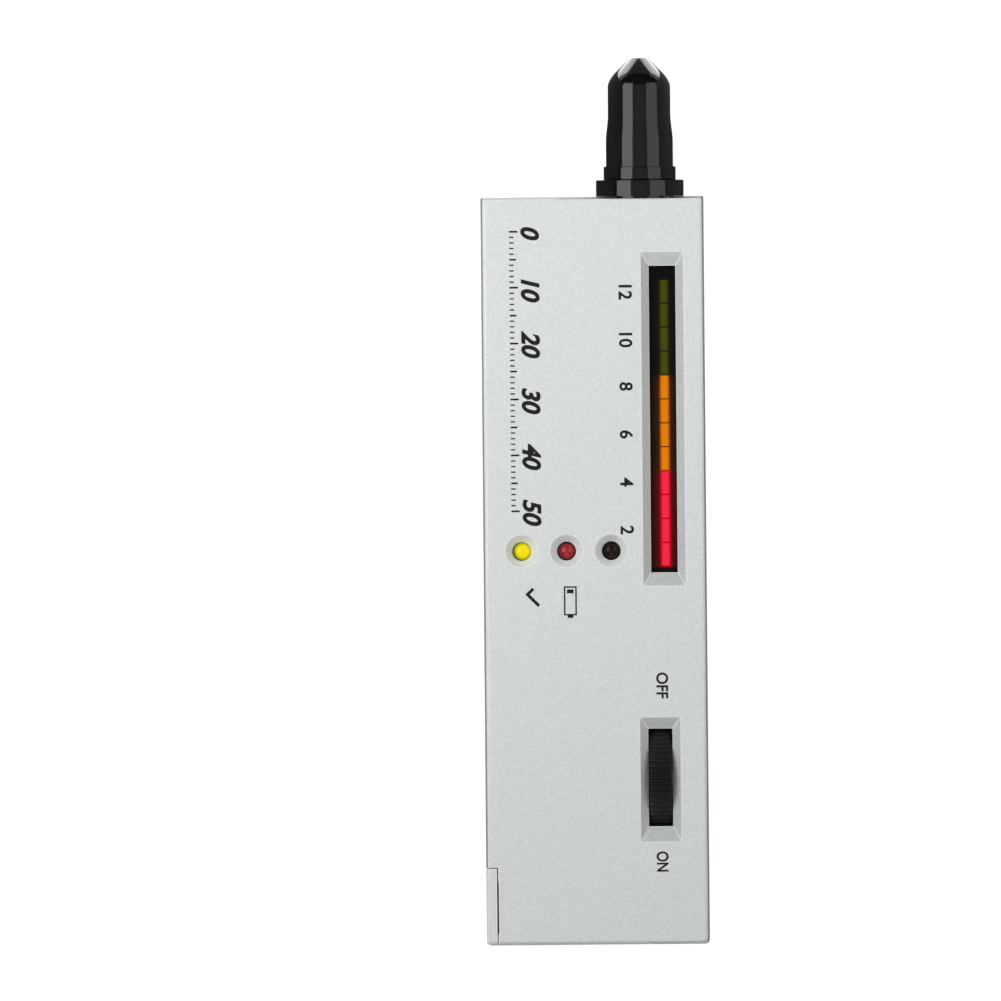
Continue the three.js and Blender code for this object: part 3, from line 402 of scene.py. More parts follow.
def epoxy(name, node, middle, rim, roughness, gloss):
    material = new_material(name, middle, roughness, Specular_IOR_Level=gloss)
    share = from_glow(material, node)
    # Painted shade: the colour darkens towards the rim, most at the left.
    link(material, ramp(material, share, [(0.4, middle), (0.95, rim)]), "Base Color")
    lift(material, grain(material, 0.8), 0.01, 0.2)
    return material


lamp_red = epoxy("red epoxy dome, unlit", "red_lamp", "#A8262A", "#4C0A0C", 0.1, 0.3)
lamp_dark = epoxy("smoked epoxy dome, unlit", "dark_lamp", "#20140A", "#140C06", 0.16, 0.15)

# %% [markdown]
# Inside and behind are ordinary workshop materials. Metals keep the default IOR and take their
# colour from the alloy. The circuit boards are glass-fibre laminate under green solder resist.

# %% Metals, boards and small parts
steel = new_material("zinc-plated steel", "#B9BCC0", 0.32, Metallic=1.0)
vary_roughness(steel, grain(steel, 0.3, detail=3), 0.24, 0.42)
brass = new_material("turned brass", "#C9A04A", 0.3, Metallic=1.0)
vary_roughness(brass, grain(brass, 0.2, stretch=(1, 8, 1)), 0.22, 0.38)
copper = new_material("copper tip", "#B87A50", 0.28, Metallic=1.0)
vary_roughness(copper, grain(copper, 0.2, stretch=(1, 8, 1)), 0.2, 0.36)
solder_resist = new_material("green solder resist", "#1F5A34", 0.35)
resist_tint = ramp(solder_resist, grain(solder_resist, 0.8), [(0.3, "#1A4E2C"), (0.7, "#25663C")])
link(solder_resist, resist_tint, "Base Color")
jacket = new_material("lacquered battery jacket", "#3C3F45", 0.35, Metallic=0.6)
vary_roughness(jacket, grain(jacket, 1.5), 0.28, 0.42)
fluoropolymer = new_material("white fluoropolymer", "#E9E6DC", 0.45)
lift(fluoropolymer, grain(fluoropolymer, 0.3), 0.01, 0.4)
alumina = new_material("alumina bead", "#D8D2C4", 0.6)
lift(alumina, grain(alumina, 0.2), 0.01, 0.5)
grey_pot = new_material("grey phenolic", "#3A3A3E", 0.5)
lift(grey_pot, grain(grey_pot, 0.3), 0.01, 0.5)
blue_case = new_material("blue moulded resin", "#2A4F96", 0.4)
vary_roughness(blue_case, grain(blue_case, 0.6), 0.32, 0.48)


def sleeve_material(name, color):
    material = new_material(name, color, 0.45)
    vary_roughness(material, grain(material, 0.5), 0.38, 0.52)
    return material


red_sleeve = sleeve_material("red PVC sleeve", "#B01818")
black_sleeve = sleeve_material("black PVC sleeve", "#161618")
grey_sleeve = sleeve_material("grey PVC ribbon", "#8A8D92")

# %% [markdown]
# The solids that keep their own shape now get their surfaces. A real moulding has no razor edge:
# the planar faces are first merged, so that a bevel of about a tenth of a millimetre runs cleanly
# along each edge and catches the light. Faces that meet at under 30 degrees are shaded smooth.

# %% Dress the solids
SMOOTH_ANGLE = math.radians(30)
FLAT_ANGLE = math.radians(0.5)


def soften(piece, width_mm):
    merge = piece.modifiers.new("merge flat faces", "DECIMATE")
    merge.decimate_type = "DISSOLVE"
    merge.angle_limit = FLAT_ANGLE
    if width_mm:
        bevel = piece.modifiers.new("edge break", "BEVEL")
        bevel.width = width_mm * MM
        bevel.segments = 3
        bevel.limit_method = "ANGLE"
        bevel.angle_limit = SMOOTH_ANGLE
        bevel.harden_normals = True
        bevel.use_clamp_overlap = True


def smooth_faces(mesh):
    mesh.shade_smooth()
    mesh.set_sharp_from_angle(angle=SMOOTH_ANGLE)


def dress(name, material, edge_mm=0.0):
    piece = nodes[name]
    piece.data.materials.clear()
    piece.data.materials.append(material)
    smooth_faces(piece.data)
    soften(piece, edge_mm)


for name in ("front_shell", "battery_door"):
    dress(name, silver_lacquer, 0.12)
dress("back_shell", back_lacquer, 0.15)
dress("bar_holder", holder_black, 0.05)
for number in range(1, 13):
    tint = (bar_red, bar_amber, bar_unlit)[(number - 1) // 4]
    dress(f"light_bar_{number:02d}", tint, 0.08)
for number in range(1, 5):
    dress(f"case_screw_{number}", steel, 0.05)
for name in ("main_board", "dial_board"):
    dress(name, solder_resist, 0.05)
for name in ("control_chip", "driver_chip", "buzzer", "battery_snap"):
    dress(name, matt_black, 0.1)
for name in ("capacitor_1", "capacitor_2", "trimmer"):
    dress(name, blue_case, 0.15)
dress("battery", jacket, 0.2)
dress("dial_pot", grey_pot, 0.15)
dress("dial_shaft", steel, 0.1)
dress("dial_ribbon", grey_sleeve)
dress("probe_lead", grey_sleeve)
dress("red_lead", red_sleeve)
dress("black_lead", black_sleeve)
dress("insulator", fluoropolymer, 0.1)
dress("probe_plunger", brass, 0.1)
dress("spring_plug", brass, 0.15)
dress("probe_tip", copper, 0.05)
dress("heater", alumina, 0.1)
print("dressed", sum(1 for piece in nodes.values() if piece.modifiers), "solids")


# %% [markdown]
# Round pieces that catch the eye are turned again with many more facets. One function turns an
# outline of radius and height, in millimetres, round an axis and closes it into a skin.

# %% Turned pieces
def new_piece(name, mesh_builder, material, body, replaced):
    mesh = bpy.data.meshes.new(name)
    mesh_builder.normal_update()
    bmesh.ops.recalc_face_normals(mesh_builder, faces=mesh_builder.faces[:])
    mesh_builder.to_mesh(mesh)
    mesh_builder.free()
    piece = bpy.data.objects.new(name, mesh)
    bpy.context.scene.collection.objects.link(piece)
    mesh.materials.append(material)
    smooth_faces(mesh)
    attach(piece, body)
    if replaced:
        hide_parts(replaced)
    print(name, len(mesh.polygons), "faces")
    return piece


def turned(outline_mm, axis, place, sides=128):
    """A closed outline of (radius, height) turned round an axis through a place."""
    builder = bmesh.new()
    rings = []
    for radius, height in outline_mm:
        ring = []
        count = 1 if radius == 0 else sides
        for i in range(count):
            angle = 2 * math.pi * i / sides
            across = Vector((radius * math.cos(angle), radius * math.sin(angle), height)) * MM
            ring.append(builder.verts.new(place + axis @ across))
        rings.append(ring)
    for low, high in zip(rings, rings[1:] + rings[:1]):
        if len(low) == 1 and len(high) == 1:
            continue
        for i in range(sides):
            j = (i + 1) % sides
            corners = [low[i % len(low)], low[j % len(low)], high[j % len(high)], high[i % len(high)]]
            builder.faces.new(list(dict.fromkeys(corners)))
    return builder


ALONG_Y = Matrix.Rotation(math.radians(-90), 3, "X")
ALONG_Z = Matrix.Identity(3)


def arc(center, radius, start_deg, end_deg, steps=8):
    """Points of a round corner in an outline."""
    angles = [math.radians(start_deg + (end_deg - start_deg) * i / steps) for i in range(steps + 1)]
    return [(center[0] + radius * math.cos(a), center[1] + radius * math.sin(a)) for a in angles]


# %% [markdown]
# The probe's spring sits between a plug and the plunger's collar. As the probe sinks in, the real
# coil gets shorter towards the plug, and a stiff one would run into the collar. So the coil is a
# piece of its own, with its own mesh.

# %% Probe spring
wire = bmesh.new()
wire.from_mesh(nodes["probe_spring"].data)
wire.transform(nodes["probe_spring"].matrix_world)
spring = new_piece("probe_spring_coil", wire, steel, "case", "probe_spring")
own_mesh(spring)

# %% [markdown]
# The cap is one moulding: a foot that stands on the collar, a sleeve that narrows by under half a
# millimetre at its waist, a round shoulder and a blunt cone. Its heights are measured from the top
# end of the case. The shoulder steepens evenly, so that it runs into the cone almost smoothly. The
# inside is a grip for the nose, a wider hollow above it and a closed tip.

# %% Cap
CAP_REACH = (cap_high.y - TOP_Y) / MM
FOOT_LOW = (cap_low.y - TOP_Y) / MM
FOOT_RADIUS = 6.45
FOOT_TOP = 5.35
SLEEVE_RADIUS = 6.0
SLEEVE_TAPER = 0.4
WAIST_LOW = 9.7
WAIST_LENGTH = 5.0
WAIST_STEPS = 24
SHOULDER_LOW = 19.8
SHOULDER_LENGTH = 2.3
SHOULDER_SLOPE = 0.2
SHOULDER_BEND = 0.155
SHOULDER_STEPS = 16
CONE_SLOPE = 1.02
TIP_RADIUS = 1.5
TIP_EDGE = 0.35
CAP_BORE = 5.2
CAP_INNER = 4.6
CAP_INNER_END = 1.8
GRIP_TOP = 7.7
INNER_LOW = 8.1
TIP_WALL = 2.1
EDGE = 0.15


def shoulder_radius(rise):
    return SLEEVE_RADIUS - SLEEVE_TAPER - SHOULDER_SLOPE * rise - SHOULDER_BEND * rise * rise


cap_outline = [(CAP_BORE, FOOT_LOW), (FOOT_RADIUS - EDGE, FOOT_LOW)]
cap_outline += arc((FOOT_RADIUS - EDGE, FOOT_LOW + EDGE), EDGE, -90, 0, 4)
cap_outline += arc((FOOT_RADIUS - EDGE, FOOT_TOP - EDGE), EDGE, 0, 90, 4)
cap_outline += [(SLEEVE_RADIUS, FOOT_TOP)]
for i in range(WAIST_STEPS + 1):
    share = i / WAIST_STEPS
    drawn_in = SLEEVE_TAPER * (1 - math.cos(math.pi * share)) / 2
    cap_outline.append((SLEEVE_RADIUS - drawn_in, WAIST_LOW + WAIST_LENGTH * share))
for i in range(SHOULDER_STEPS + 1):
    rise = SHOULDER_LENGTH * i / SHOULDER_STEPS
    cap_outline.append((shoulder_radius(rise), SHOULDER_LOW + rise))
cone_low = SHOULDER_LOW + SHOULDER_LENGTH
cone_end = TIP_RADIUS + TIP_EDGE / 2
cone_top = cone_low + (shoulder_radius(SHOULDER_LENGTH) - cone_end) / CONE_SLOPE
cap_outline += [
    (cone_end, min(cone_top, CAP_REACH - TIP_EDGE / 2)),
    (TIP_RADIUS, CAP_REACH - TIP_EDGE / 4),
    (TIP_RADIUS - TIP_EDGE, CAP_REACH),
    (0, CAP_REACH),
    (0, CAP_REACH - TIP_WALL),
    (CAP_INNER_END, CAP_REACH - TIP_WALL),
    (CAP_INNER, SHOULDER_LOW),
    (CAP_INNER, INNER_LOW),
    (CAP_BORE, GRIP_TOP),
]
nose_place = Vector((NOSE_X, TOP_Y, NOSE_Z))
cap_skin = turned(cap_outline, ALONG_Y, nose_place)
new_piece("cap_moulding", cap_skin, polished_black, "cap", "cap")

# %% [markdown]
# The nose housing is what the cap sits on: a collar against the case, a short cylinder that grips
# the cap, and a cone with the probe's hole in its end. Behind the wall of the case it has a flange
# and a tail, which are turned here too, so that it is the whole piece.

# %% Nose housing
nose_low, nose_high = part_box("nose_housing")
NOSE_REACH = (nose_high.y - TOP_Y) / MM
TAIL_LOW = (nose_low.y - TOP_Y) / MM
COLLAR_RADIUS = (nose_high.x - nose_low.x) / 2 / MM
COLLAR_LOW = 0.03
FOOT_GAP = 0.02
COLLAR_HEIGHT = FOOT_LOW - FOOT_GAP
TAIL_BORE = 2.75
TAIL_RADIUS = 4.4
FLANGE_RADIUS = 7.2
FLANGE_LOW = -3.75
FLANGE_TOP = -2.15
NECK_RADIUS = 6.0
GRIP_RADIUS = 5.0
GRIP_HEIGHT = 7.5
CONE_FOOT = 4.2
CONE_END = 2.2
CONE_EDGE = 0.5
PROBE_HOLE = 1.0
TAIL_BORE_END = 11.5

nose_outline = [
    (TAIL_BORE, TAIL_LOW),
    (TAIL_RADIUS, TAIL_LOW),
    (TAIL_RADIUS, FLANGE_LOW),
    (FLANGE_RADIUS, FLANGE_LOW),
    (FLANGE_RADIUS, FLANGE_TOP),
    (NECK_RADIUS, FLANGE_TOP),
    (NECK_RADIUS, COLLAR_LOW),
    (COLLAR_RADIUS, COLLAR_LOW),
]
nose_outline += arc((COLLAR_RADIUS - EDGE, COLLAR_HEIGHT - EDGE), EDGE, 0, 90, 4)
nose_outline += [(GRIP_RADIUS, COLLAR_HEIGHT)]
nose_outline += arc((GRIP_RADIUS - EDGE, GRIP_HEIGHT - EDGE), EDGE, 0, 90, 4)
nose_outline += [(CONE_FOOT, GRIP_HEIGHT), (CONE_END, NOSE_REACH - CONE_EDGE)]
nose_outline += arc((CONE_END - CONE_EDGE, NOSE_REACH - CONE_EDGE), CONE_EDGE, 10, 90, 5)
nose_outline += [(PROBE_HOLE, NOSE_REACH), (PROBE_HOLE, TAIL_BORE_END), (TAIL_BORE, TAIL_BORE_END)]
nose_skin = turned(nose_outline, ALONG_Y, nose_place)
new_piece("nose_moulding", nose_skin, polished_black, "case", "nose_housing")

# %% [markdown]
# Each lamp is a dome on a flange with two legs. It sits in its countersink with the dome's top just
# below the face, so only the dome shows.

# %% Lamp domes
LAMP_FLANGE = 1.95
FLANGE_HEIGHT = 1.0
LAMP_LENGTH = 5.2
LEG_PITCH = 2.54
LEG_HALF = 0.25


def lamp_dome(name, material):
    low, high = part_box(name)
    x = (low.x + high.x) / 2
    y = (low.y + high.y) / 2
    top = high.z / MM
    base = top - LAMP_LENGTH
    outline = [(0, base), (LAMP_FLANGE, base)]
    outline += arc((LAMP_FLANGE - EDGE, base + FLANGE_HEIGHT - EDGE), EDGE, 0, 90, 4)
    outline += [(LAMP_RADIUS, base + FLANGE_HEIGHT)]
    outline += arc((0, top - LAMP_RADIUS), LAMP_RADIUS, 0, 90, 20)
    outline[-1] = (0, top)
    builder = turned(outline, ALONG_Z, Vector((x, y, 0)), sides=64)
    for side in (-1, 1):
        height = base * MM - low.z
        middle = Vector((x + side * LEG_PITCH / 2 * MM, y, low.z + height / 2))
        thick = 2 * LEG_HALF * MM
        scale = Matrix.Diagonal((thick, thick, height, 1))
        bmesh.ops.create_cube(builder, size=1, matrix=Matrix.Translation(middle) @ scale)
    new_piece(f"{name}_dome", builder, material, "case", name)


for name, material in (("yellow_lamp", lamp_yellow), ("red_lamp", lamp_red), ("dark_lamp", lamp_dark)):
    lamp_dome(name, material)

# %% [markdown]
# The thumbwheel has sixty ridges across its rim, so that a thumb can roll it. Each ridge is a narrow
# crest with a broad round groove beside it, drawn with eight points. The rim's two edges are broken,
# and the side towards the battery is hollowed between rim and hub to save plastic.

# %% Thumbwheel
RIDGES = 60
RIDGE_DEPTH = 0.45
WHEEL_EDGE = 0.3
EDGE_MIDDLE = 0.1
AXLE_RADIUS = 1.65
HUB_RADIUS = 3.1
RIM_RADIUS = 8.0
HOLLOW_DEPTH = 1.2
GROOVE_SHARES = (0.0, 0.0, 0.35, 0.8, 1.0, 1.0, 0.8, 0.35)
wheel_radius = (wheel_high.y - wheel_low.y) / 2 / MM
wheel_y = (wheel_low.y + wheel_high.y) / 2
wheel_z = wheel_high.z - wheel_radius * MM
left = wheel_low.x / MM
right = wheel_high.x / MM
# Each station is a place along the axle, a radius, and how far the grooves cut in there
wheel_stations = [
    (left, AXLE_RADIUS, 0),
    (left, HUB_RADIUS, 0),
    (left + HOLLOW_DEPTH, HUB_RADIUS, 0),
    (left + HOLLOW_DEPTH, RIM_RADIUS, 0),
    (left, RIM_RADIUS, 0),
    (left, wheel_radius - WHEEL_EDGE, 1),
    (left + EDGE_MIDDLE, wheel_radius - EDGE_MIDDLE, 1),
    (left + WHEEL_EDGE, wheel_radius, 1),
    (right - WHEEL_EDGE, wheel_radius, 1),
    (right - EDGE_MIDDLE, wheel_radius - EDGE_MIDDLE, 1),
    (right, wheel_radius - WHEEL_EDGE, 1),
    (right, RIM_RADIUS, 0),
    (right, AXLE_RADIUS, 0),
]


def ridged_wheel():
    builder = bmesh.new()
    count = RIDGES * len(GROOVE_SHARES)
    rings = []
    for x, radius, cut in wheel_stations:
        ring = []
        for i in range(count):
            angle = 2 * math.pi * i / count
            r = (radius - cut * RIDGE_DEPTH * GROOVE_SHARES[i % len(GROOVE_SHARES)]) * MM
            corner = (x * MM, wheel_y + r * math.cos(angle), wheel_z + r * math.sin(angle))
            ring.append(builder.verts.new(corner))
        rings.append(ring)
    for low, high in zip(rings, rings[1:] + rings[:1]):
        for i in range(count):
            j = (i + 1) % count
            builder.faces.new((low[i], low[j], high[j], high[i]))
    return builder


new_piece("ridged_wheel", ridged_wheel(), matt_black, "dial", "thumbwheel")

# %% [markdown]
# The face is pad printed in black ink, a few hundredths of a millimetre thick. All of it reads
# down the case, so every sign is drawn upright at the origin and then turned a quarter turn to
# the right. Places are given as the distance right of the middle line and below the top end.

# %% Printing
ink = new_material("black pad-printing ink", "#0E0E10", 0.5, Specular_IOR_Level=0.3)
lift(ink, grain(ink, 0.1), 0.004, 0.5)
INK_HEIGHT = 0.02


def printed(name, builder):
    piece = new_piece(name, builder, ink, "case", None)
    piece.data.shade_flat()


def to_face(x_mm, down_mm):
    """The quarter turn and shift that put a sign drawn at the origin on the face."""
    place = Vector((x_mm * MM, TOP_Y - down_mm * MM, FACE_Z))
    return Matrix.Translation(place) @ Matrix.Rotation(math.radians(-90), 4, "Z")


def add_words(builder, text, x_mm, down_mm, height_mm, bold=0.0, slant=0.0, narrow=1.0):
    curve = bpy.data.curves.new("words", "FONT")
    curve.body = text
    curve.align_x = "CENTER"
    curve.align_y = "CENTER"
    curve.shear = slant
    curve.offset = bold
    curve.resolution_u = 6
    holder = bpy.data.objects.new("words", curve)
    bpy.context.scene.collection.objects.link(holder)
    bpy.context.view_layer.update()
    mesh = bpy.data.meshes.new_from_object(holder)
    high = max(v.co.y for v in mesh.vertices)
    low = min(v.co.y for v in mesh.vertices)
    middle = (high + low) / 2
    scale = height_mm * MM / (high - low)
    place = to_face(x_mm, down_mm)
    shape = Matrix.Diagonal((scale * narrow, scale, 1, 1)) @ Matrix.Translation((0, -middle, 0))
    mesh.transform(place @ shape)
    add_flat(builder, mesh)
    bpy.data.objects.remove(holder)
    bpy.data.meshes.remove(mesh)


def add_flat(builder, mesh):
    """Adds a flat mesh on the face and gives it the thickness of the ink."""
    part = bmesh.new()
    part.from_mesh(mesh)
    bmesh.ops.remove_doubles(part, verts=part.verts[:], dist=1e-7)
    lifted = bmesh.ops.extrude_face_region(part, geom=part.faces[:])
    tops = [item for item in lifted["geom"] if isinstance(item, bmesh.types.BMVert)]
    bmesh.ops.translate(part, verts=tops, vec=(0, 0, INK_HEIGHT * MM))
    joined = bpy.data.meshes.new("sign")
    part.to_mesh(joined)
    part.free()
    builder.from_mesh(joined)
    bpy.data.meshes.remove(joined)


def add_shape(builder, points_mm, x_mm, down_mm):
    """Adds a filled outline, drawn upright in millimetres."""
    mesh = bpy.data.meshes.new("shape")
    corners = [(x * MM, y * MM, 0) for x, y in points_mm]
    mesh.from_pydata(corners, [], [tuple(range(len(corners)))])
    mesh.transform(to_face(x_mm, down_mm))
    add_flat(builder, mesh)
    bpy.data.meshes.remove(mesh)


def bar_points(x0, x1, y0, y1):
    return [(x0, y0), (x1, y0), (x1, y1), (x0, y1)]


# %% [markdown]
# Beside the thumbwheel stand the two switch words. The light bars get plain even numbers, each
# level with the middle of its bar. The long space on the left carries a 50 mm measuring scale, in
# bold slanted numerals over a row of ticks.

# %% Words, numbers and the scale
OFF_PLACE = (11.8, 87.55)
ON_PLACE = (11.6, 119.1)
WORD_HEIGHT = 2.15
FINE_BOLD = 0.022
switch_words = bmesh.new()
add_words(switch_words, "OFF", *OFF_PLACE, WORD_HEIGHT, bold=FINE_BOLD, narrow=0.93)
add_words(switch_words, "ON", *ON_PLACE, WORD_HEIGHT, bold=FINE_BOLD, narrow=0.82)
printed("print_switch_words", switch_words)

BAR_NUMBER_X = 5.8
BAR_NUMBER_HEIGHT = 2.4
bar_numbers = bmesh.new()
for number in range(2, 13, 2):
    middle_y = bar_low.y + BAR_PITCH * (number - 0.5)
    down = (TOP_Y - middle_y) / MM
    add_words(bar_numbers, str(number), BAR_NUMBER_X, down, BAR_NUMBER_HEIGHT, bold=FINE_BOLD)
printed("print_bar_numbers", bar_numbers)

TICKS_X = -14.9
NUMERALS_X = -11.2
NUMERAL_HEIGHT = 3.4
NUMERAL_BOLD = 0.035
SCALE_TOP = 6.2
SCALE_LENGTH = 50


def tick_size(step):
    """The length and half the width of a tick: long at the tens, longer than plain at the fives."""
    if step % 10 == 0:
        return 1.5, 0.16
    if step % 5 == 0:
        return 1.2, 0.16
    return 0.8, 0.12


scale_marks = bmesh.new()
for step in range(SCALE_LENGTH + 1):
    length, half = tick_size(step)
    add_shape(scale_marks, bar_points(-half, half, 0, length), TICKS_X, SCALE_TOP + step)
for number in range(0, SCALE_LENGTH + 1, 10):
    down = SCALE_TOP + number
    add_words(scale_marks, str(number), NUMERALS_X, down, NUMERAL_HEIGHT, bold=NUMERAL_BOLD, slant=0.25)
printed("print_scale", scale_marks)

# %% [markdown]
# Under the yellow lamp stands a tick for ready, and under the red one a battery that is nearly
# empty. Both are drawn from straight strokes.

# %% Signs under the lamps
TICK = [(-1.7, 0.1), (-1.35, 0.5), (-0.5, -0.35), (1.35, 1.5), (1.75, 1.1), (-0.5, -1.15)]
TICK_PLACE = (-11.4, 71.6)
BATTERY_PLACE = (-4.5, 72.3)
BATTERY_LENGTH = 5.2
BATTERY_HEIGHT = 2.3
LINE = 0.26
STUD_LENGTH = 0.45
STUD_HALF = 0.5
CHARGE_X = (0.55, 1.25)
CHARGE_MARGIN = 0.3
end = BATTERY_LENGTH / 2
side = BATTERY_HEIGHT / 2
inner = side - LINE
battery_strokes = [
    (-end, end, inner, side),
    (-end, end, -side, -inner),
    (-end, LINE - end, -inner, inner),
    (end - LINE, end, -inner, inner),
    (end, end + STUD_LENGTH, -STUD_HALF, STUD_HALF),
    (CHARGE_X[0] - end, CHARGE_X[1] - end, CHARGE_MARGIN - inner, inner - CHARGE_MARGIN),
]
signs = bmesh.new()
add_shape(signs, TICK, *TICK_PLACE)
for stroke in battery_strokes:
    add_shape(signs, bar_points(*stroke), *BATTERY_PLACE)
printed("print_signs", signs)

# %% [markdown]
# The tester lies on a white table. The table has to look white to the camera and in reflections,
# but it may not throw more light on the tester than a table does, so its own glow is only there
# for rays from the camera and for reflected and refracted rays. The rest is plain paint, which
# keeps the shadow. It lies a twentieth of a millimetre below the tester, so that its plane and the
# tester's back aren't the same.

# %% Table
def seen_by_eye(tree):
    """One for rays from the camera and for reflected and refracted ones, else zero."""
    path = tree.nodes.new("ShaderNodeLightPath")
    first = tree.nodes.new("ShaderNodeMath")
    first.operation = "MAXIMUM"
    tree.links.new(path.outputs["Is Camera Ray"], first.inputs[0])
    tree.links.new(path.outputs["Is Glossy Ray"], first.inputs[1])
    second = tree.nodes.new("ShaderNodeMath")
    second.operation = "MAXIMUM"
    tree.links.new(first.outputs[0], second.inputs[0])
    tree.links.new(path.outputs["Is Transmission Ray"], second.inputs[1])
    return second.outputs[0]


TABLE_SIZE = 4.0
TABLE_GLOW = 0.9
TABLE_DROP = 0.05
table_paint = new_material("white table", "#A0A0A0", 0.9)
shader_of(table_paint).inputs["Emission Color"].default_value = paint("#FFFFFF")
seen = seen_by_eye(table_paint.node_tree)
link(table_paint, rescale(table_paint, seen, 0.0, 1.0, 0.0, TABLE_GLOW), "Emission Strength")
table_mesh = bpy.data.meshes.new("table")
half = TABLE_SIZE / 2
low = -TABLE_DROP * MM
corners = [(-half, -half, low), (half, -half, low), (half, half, low), (-half, half, low)]
table_mesh.from_pydata(corners, [], [(0, 1, 2, 3)])
table = bpy.data.objects.new("table", table_mesh)
table_mesh.materials.append(table_paint)
bpy.context.scene.collection.objects.link(table)

# %% [markdown]
# Two long softboxes hang left and right above the tester. A black cylinder shows each as one
# straight grey band, and the dark between the bands is the unlit space around the camera. The
# bands' places on the cap give the softboxes' angles: about 22 to 60 degrees from straight up on
# the left, and 27 to 69 on the right. Their widths and lengths are in metres.

# %% Softboxes
BOX_DISTANCE = 0.35
BOX_LENGTH = 0.36
BOX_AHEAD = 0.14


def area_lamp(name, width, length, place, turn, radiance):
    light = bpy.data.lights.new(name, "AREA")
    light.shape = "RECTANGLE"
    light.size = width
    light.size_y = length
    light.energy = radiance * math.pi * width * length
    lamp = bpy.data.objects.new(name, light)
    lamp.location = place
    lamp.rotation_euler = turn
    lamp.visible_camera = False
    bpy.context.scene.collection.objects.link(lamp)


def softbox(name, side, angle_deg, half_deg, radiance):
    angle = math.radians(angle_deg)
    width = 2 * BOX_DISTANCE * math.tan(math.radians(half_deg))
    place = (side * BOX_DISTANCE * math.sin(angle), BOX_AHEAD, BOX_DISTANCE * math.cos(angle))
    area_lamp(name, width, BOX_LENGTH, place, (0, side * angle, 0), radiance)


softbox("softbox left", -1, angle_deg=41, half_deg=19, radiance=3.5)
softbox("softbox right", 1, angle_deg=48, half_deg=21, radiance=1.6)

# %% [markdown]
# A large fill lamp stands at the bottom end, far enough away to be even over the whole tester. It
# is why the slopes that face the bottom end are paler than those that face the nose.

# %% Fill light
FILL_SIZE = 1.4
FILL_AWAY = 1.2
FILL_TILT = math.radians(45)
area_lamp("fill", FILL_SIZE, FILL_SIZE, (0, -FILL_AWAY, FILL_AWAY), (FILL_TILT, 0, 0), radiance=1.1)

# %% [markdown]
# Polished black shows everything round it, also the white table. A photographer keeps that out
# with small dark cards, so that only the softboxes draw the form. Two of them lean outwards beside
# the nose, one lies between their feet, and one stands ahead of the tip. A white card that glows
# lies in front of that one and shows as a bright reflection on both sides of the cone. The camera
# doesn't see the cards, and they stop no light: they only count in reflections. The flat ones lie a
# tenth of a millimetre up.

# %% Cards
CARD_FOOT = 7.0
CARD_OUT = 15.0
CARD_HEIGHT = 20.0
CARD_LIFT = 0.1
SIDE_CARD_REACH = 28.0
FRONT_CARD_AWAY = 60.0
FRONT_CARD_HALF = 36.0
WHITE_CARD_START = 4.0
dark_card = new_material("dark card", "#A8A8A8", 0.9)
white_card = new_material("white card that glows", "#FFFFFF", 0.9)
# The white card glows by its own emission and shows only in reflections.
shader_of(white_card).inputs["Emission Color"].default_value = paint("#FFFFFF")
shader_of(white_card).inputs["Emission Strength"].default_value = 5.0


def card(name, corners_mm, material):
    mesh = bpy.data.meshes.new(name)
    mesh.from_pydata([tuple(c * MM for c in corner) for corner in corners_mm], [], [(0, 1, 2, 3)])
    mesh.materials.append(material)
    piece = bpy.data.objects.new(name, mesh)
    piece.visible_camera = False
    piece.visible_diffuse = False
    piece.visible_shadow = False
    piece.visible_transmission = False
    bpy.context.scene.collection.objects.link(piece)


def flat_card(name, x_half, y_low, y_high, material):
    """A card that lies on the table, on both sides of the nose's axis."""
    low, high = nose_x - x_half, nose_x + x_half
    corners = [(low, y_low), (high, y_low), (high, y_high), (low, y_high)]
    card(name, [(x, y, CARD_LIFT) for x, y in corners], material)


def side_card(name, y_low, y_high, foot_x, top_x, material):
    """A card that stands along the nose and leans outwards."""
    feet = [(foot_x, y_low, 0), (foot_x, y_high, 0)]
    tops = [(top_x, y_high, CARD_HEIGHT), (top_x, y_low, CARD_HEIGHT)]
    card(name, feet + tops, material)


nose_x = NOSE_X / MM
end_y = TOP_Y / MM
reach_y = end_y + SIDE_CARD_REACH
tip_y = cap_high.y / MM
ahead_y = tip_y + FRONT_CARD_AWAY
for side, name in ((-1, "card left"), (1, "card right")):
    foot = nose_x + side * CARD_FOOT
    top = nose_x + side * CARD_OUT
    side_card(name, end_y, reach_y, foot, top, dark_card)
left_x, right_x = nose_x - FRONT_CARD_HALF, nose_x + FRONT_CARD_HALF
feet = [(left_x, ahead_y, 0), (right_x, ahead_y, 0)]
tops = [(right_x, ahead_y, CARD_HEIGHT), (left_x, ahead_y, CARD_HEIGHT)]
card("card ahead", feet + tops, dark_card)
start_y = tip_y + WHITE_CARD_START
flat_card("card under the nose", CARD_FOOT, end_y, start_y, dark_card)
flat_card("white card", FRONT_CARD_HALF, start_y, ahead_y, white_card)

# %% [markdown]
# The room gives a weak even light. Where the camera looks past the table, the room is white, and
# reflections see the same white at the horizon. Above it they see a ceiling that is dim at the
# sides and brighter overhead, as light from the softboxes comes back from it.

# %% Room
ROOM_LIGHT = 0.16
HORIZON = ((0.0, 1.0), (0.03, 0.04))
CEILING = ((0.8, 0.08), (0.95, 0.42), (1.0, 0.48))


def grey(level):
    return level, level, level, 1.0


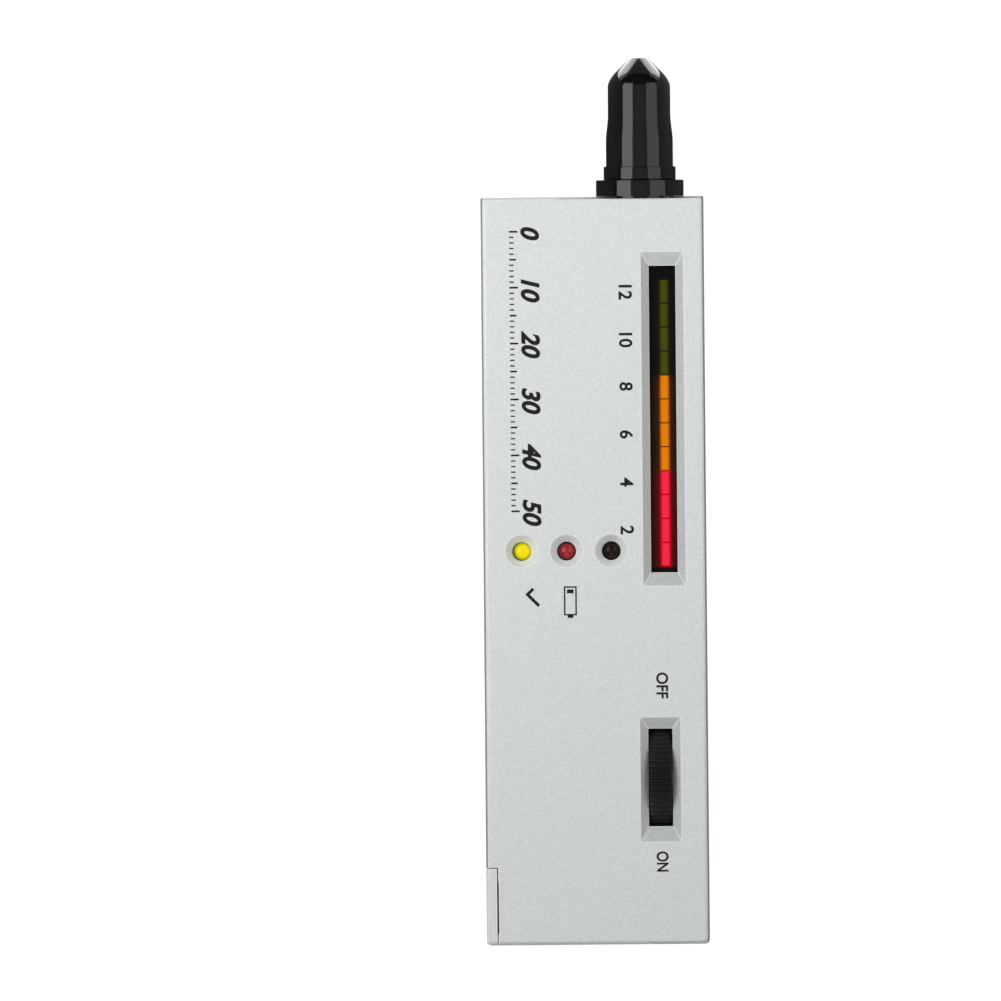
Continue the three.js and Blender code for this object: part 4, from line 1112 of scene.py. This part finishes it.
world = bpy.data.worlds.new("studio")
bpy.context.scene.world = world
world.use_nodes = True
tree = world.node_tree
background = tree.nodes["Background"]
direction = tree.nodes.new("ShaderNodeTexCoord").outputs["Generated"]
height = tree.nodes.new("ShaderNodeSeparateXYZ")
tree.links.new(direction, height.inputs[0])
above = tree.nodes.new("ShaderNodeValToRGB")
sky = above.color_ramp.elements
for element, (position, level) in zip(sky, HORIZON):
    element.position = position
    element.color = grey(level)
for position, level in CEILING:
    sky.new(position).color = grey(level)
tree.links.new(height.outputs["Z"], above.inputs["Fac"])
path = tree.nodes.new("ShaderNodeLightPath")
mirrored = tree.nodes.new("ShaderNodeMath")
mirrored.operation = "MAXIMUM"
tree.links.new(path.outputs["Is Glossy Ray"], mirrored.inputs[0])
tree.links.new(path.outputs["Is Transmission Ray"], mirrored.inputs[1])
for_mirror = tree.nodes.new("ShaderNodeMix")
for_mirror.inputs["A"].default_value = ROOM_LIGHT
tree.links.new(mirrored.outputs[0], for_mirror.inputs["Factor"])
tree.links.new(above.outputs["Color"], for_mirror.inputs["B"])
for_eye = tree.nodes.new("ShaderNodeMix")
for_eye.inputs["B"].default_value = 1.0
tree.links.new(path.outputs["Is Camera Ray"], for_eye.inputs["Factor"])
tree.links.new(for_mirror.outputs["Result"], for_eye.inputs["A"])
tree.links.new(for_eye.outputs["Result"], background.inputs["Strength"])
background.inputs["Color"].default_value = grey(1.0)

# %% [markdown]
# The camera hangs straight above, far off with a long lens, as for a catalogue picture. The tester
# stands right of the picture's middle and leans by half a degree, so the camera is shifted and
# rolled by the same amounts. All of that is worked out from where the case lies in the picture.

# %% Camera
PICTURE = 1001
CASE_MIDDLE_PX = (595.1, 570.75)
CASE_WIDTH_PX = 223.3
LEAN = math.radians(0.507)
CAMERA_HEIGHT = 8.0
SENSOR = 36.0

case_width = case_high.x - case_low.x
parting_drop = FACE_Z / 2
metres_per_px = case_width / CASE_WIDTH_PX
picture_width = PICTURE * metres_per_px * CAMERA_HEIGHT / (CAMERA_HEIGHT + parting_drop)
camera_data = bpy.data.cameras.new("camera")
camera_data.sensor_width = SENSOR
camera_data.lens = SENSOR * CAMERA_HEIGHT / picture_width
camera = bpy.data.objects.new("camera", camera_data)
right_of = (CASE_MIDDLE_PX[0] - PICTURE / 2) * metres_per_px
below = (CASE_MIDDLE_PX[1] - PICTURE / 2) * metres_per_px
picture_right = Vector((math.cos(-LEAN), math.sin(-LEAN)))
picture_up = Vector((-math.sin(-LEAN), math.cos(-LEAN)))
case_middle = Vector((0, (case_low.y + case_high.y) / 2))
aim = case_middle - right_of * picture_right + below * picture_up
camera.location = (aim.x, aim.y, FACE_Z + CAMERA_HEIGHT)
camera.rotation_euler = (0, 0, -LEAN)
bpy.context.scene.collection.objects.link(camera)
bpy.context.scene.camera = camera
bpy.context.scene.view_settings.view_transform = "Standard"
print(f"lens {camera_data.lens:.0f} mm, camera over {aim.x / MM:.1f}, {aim.y / MM:.1f} mm")
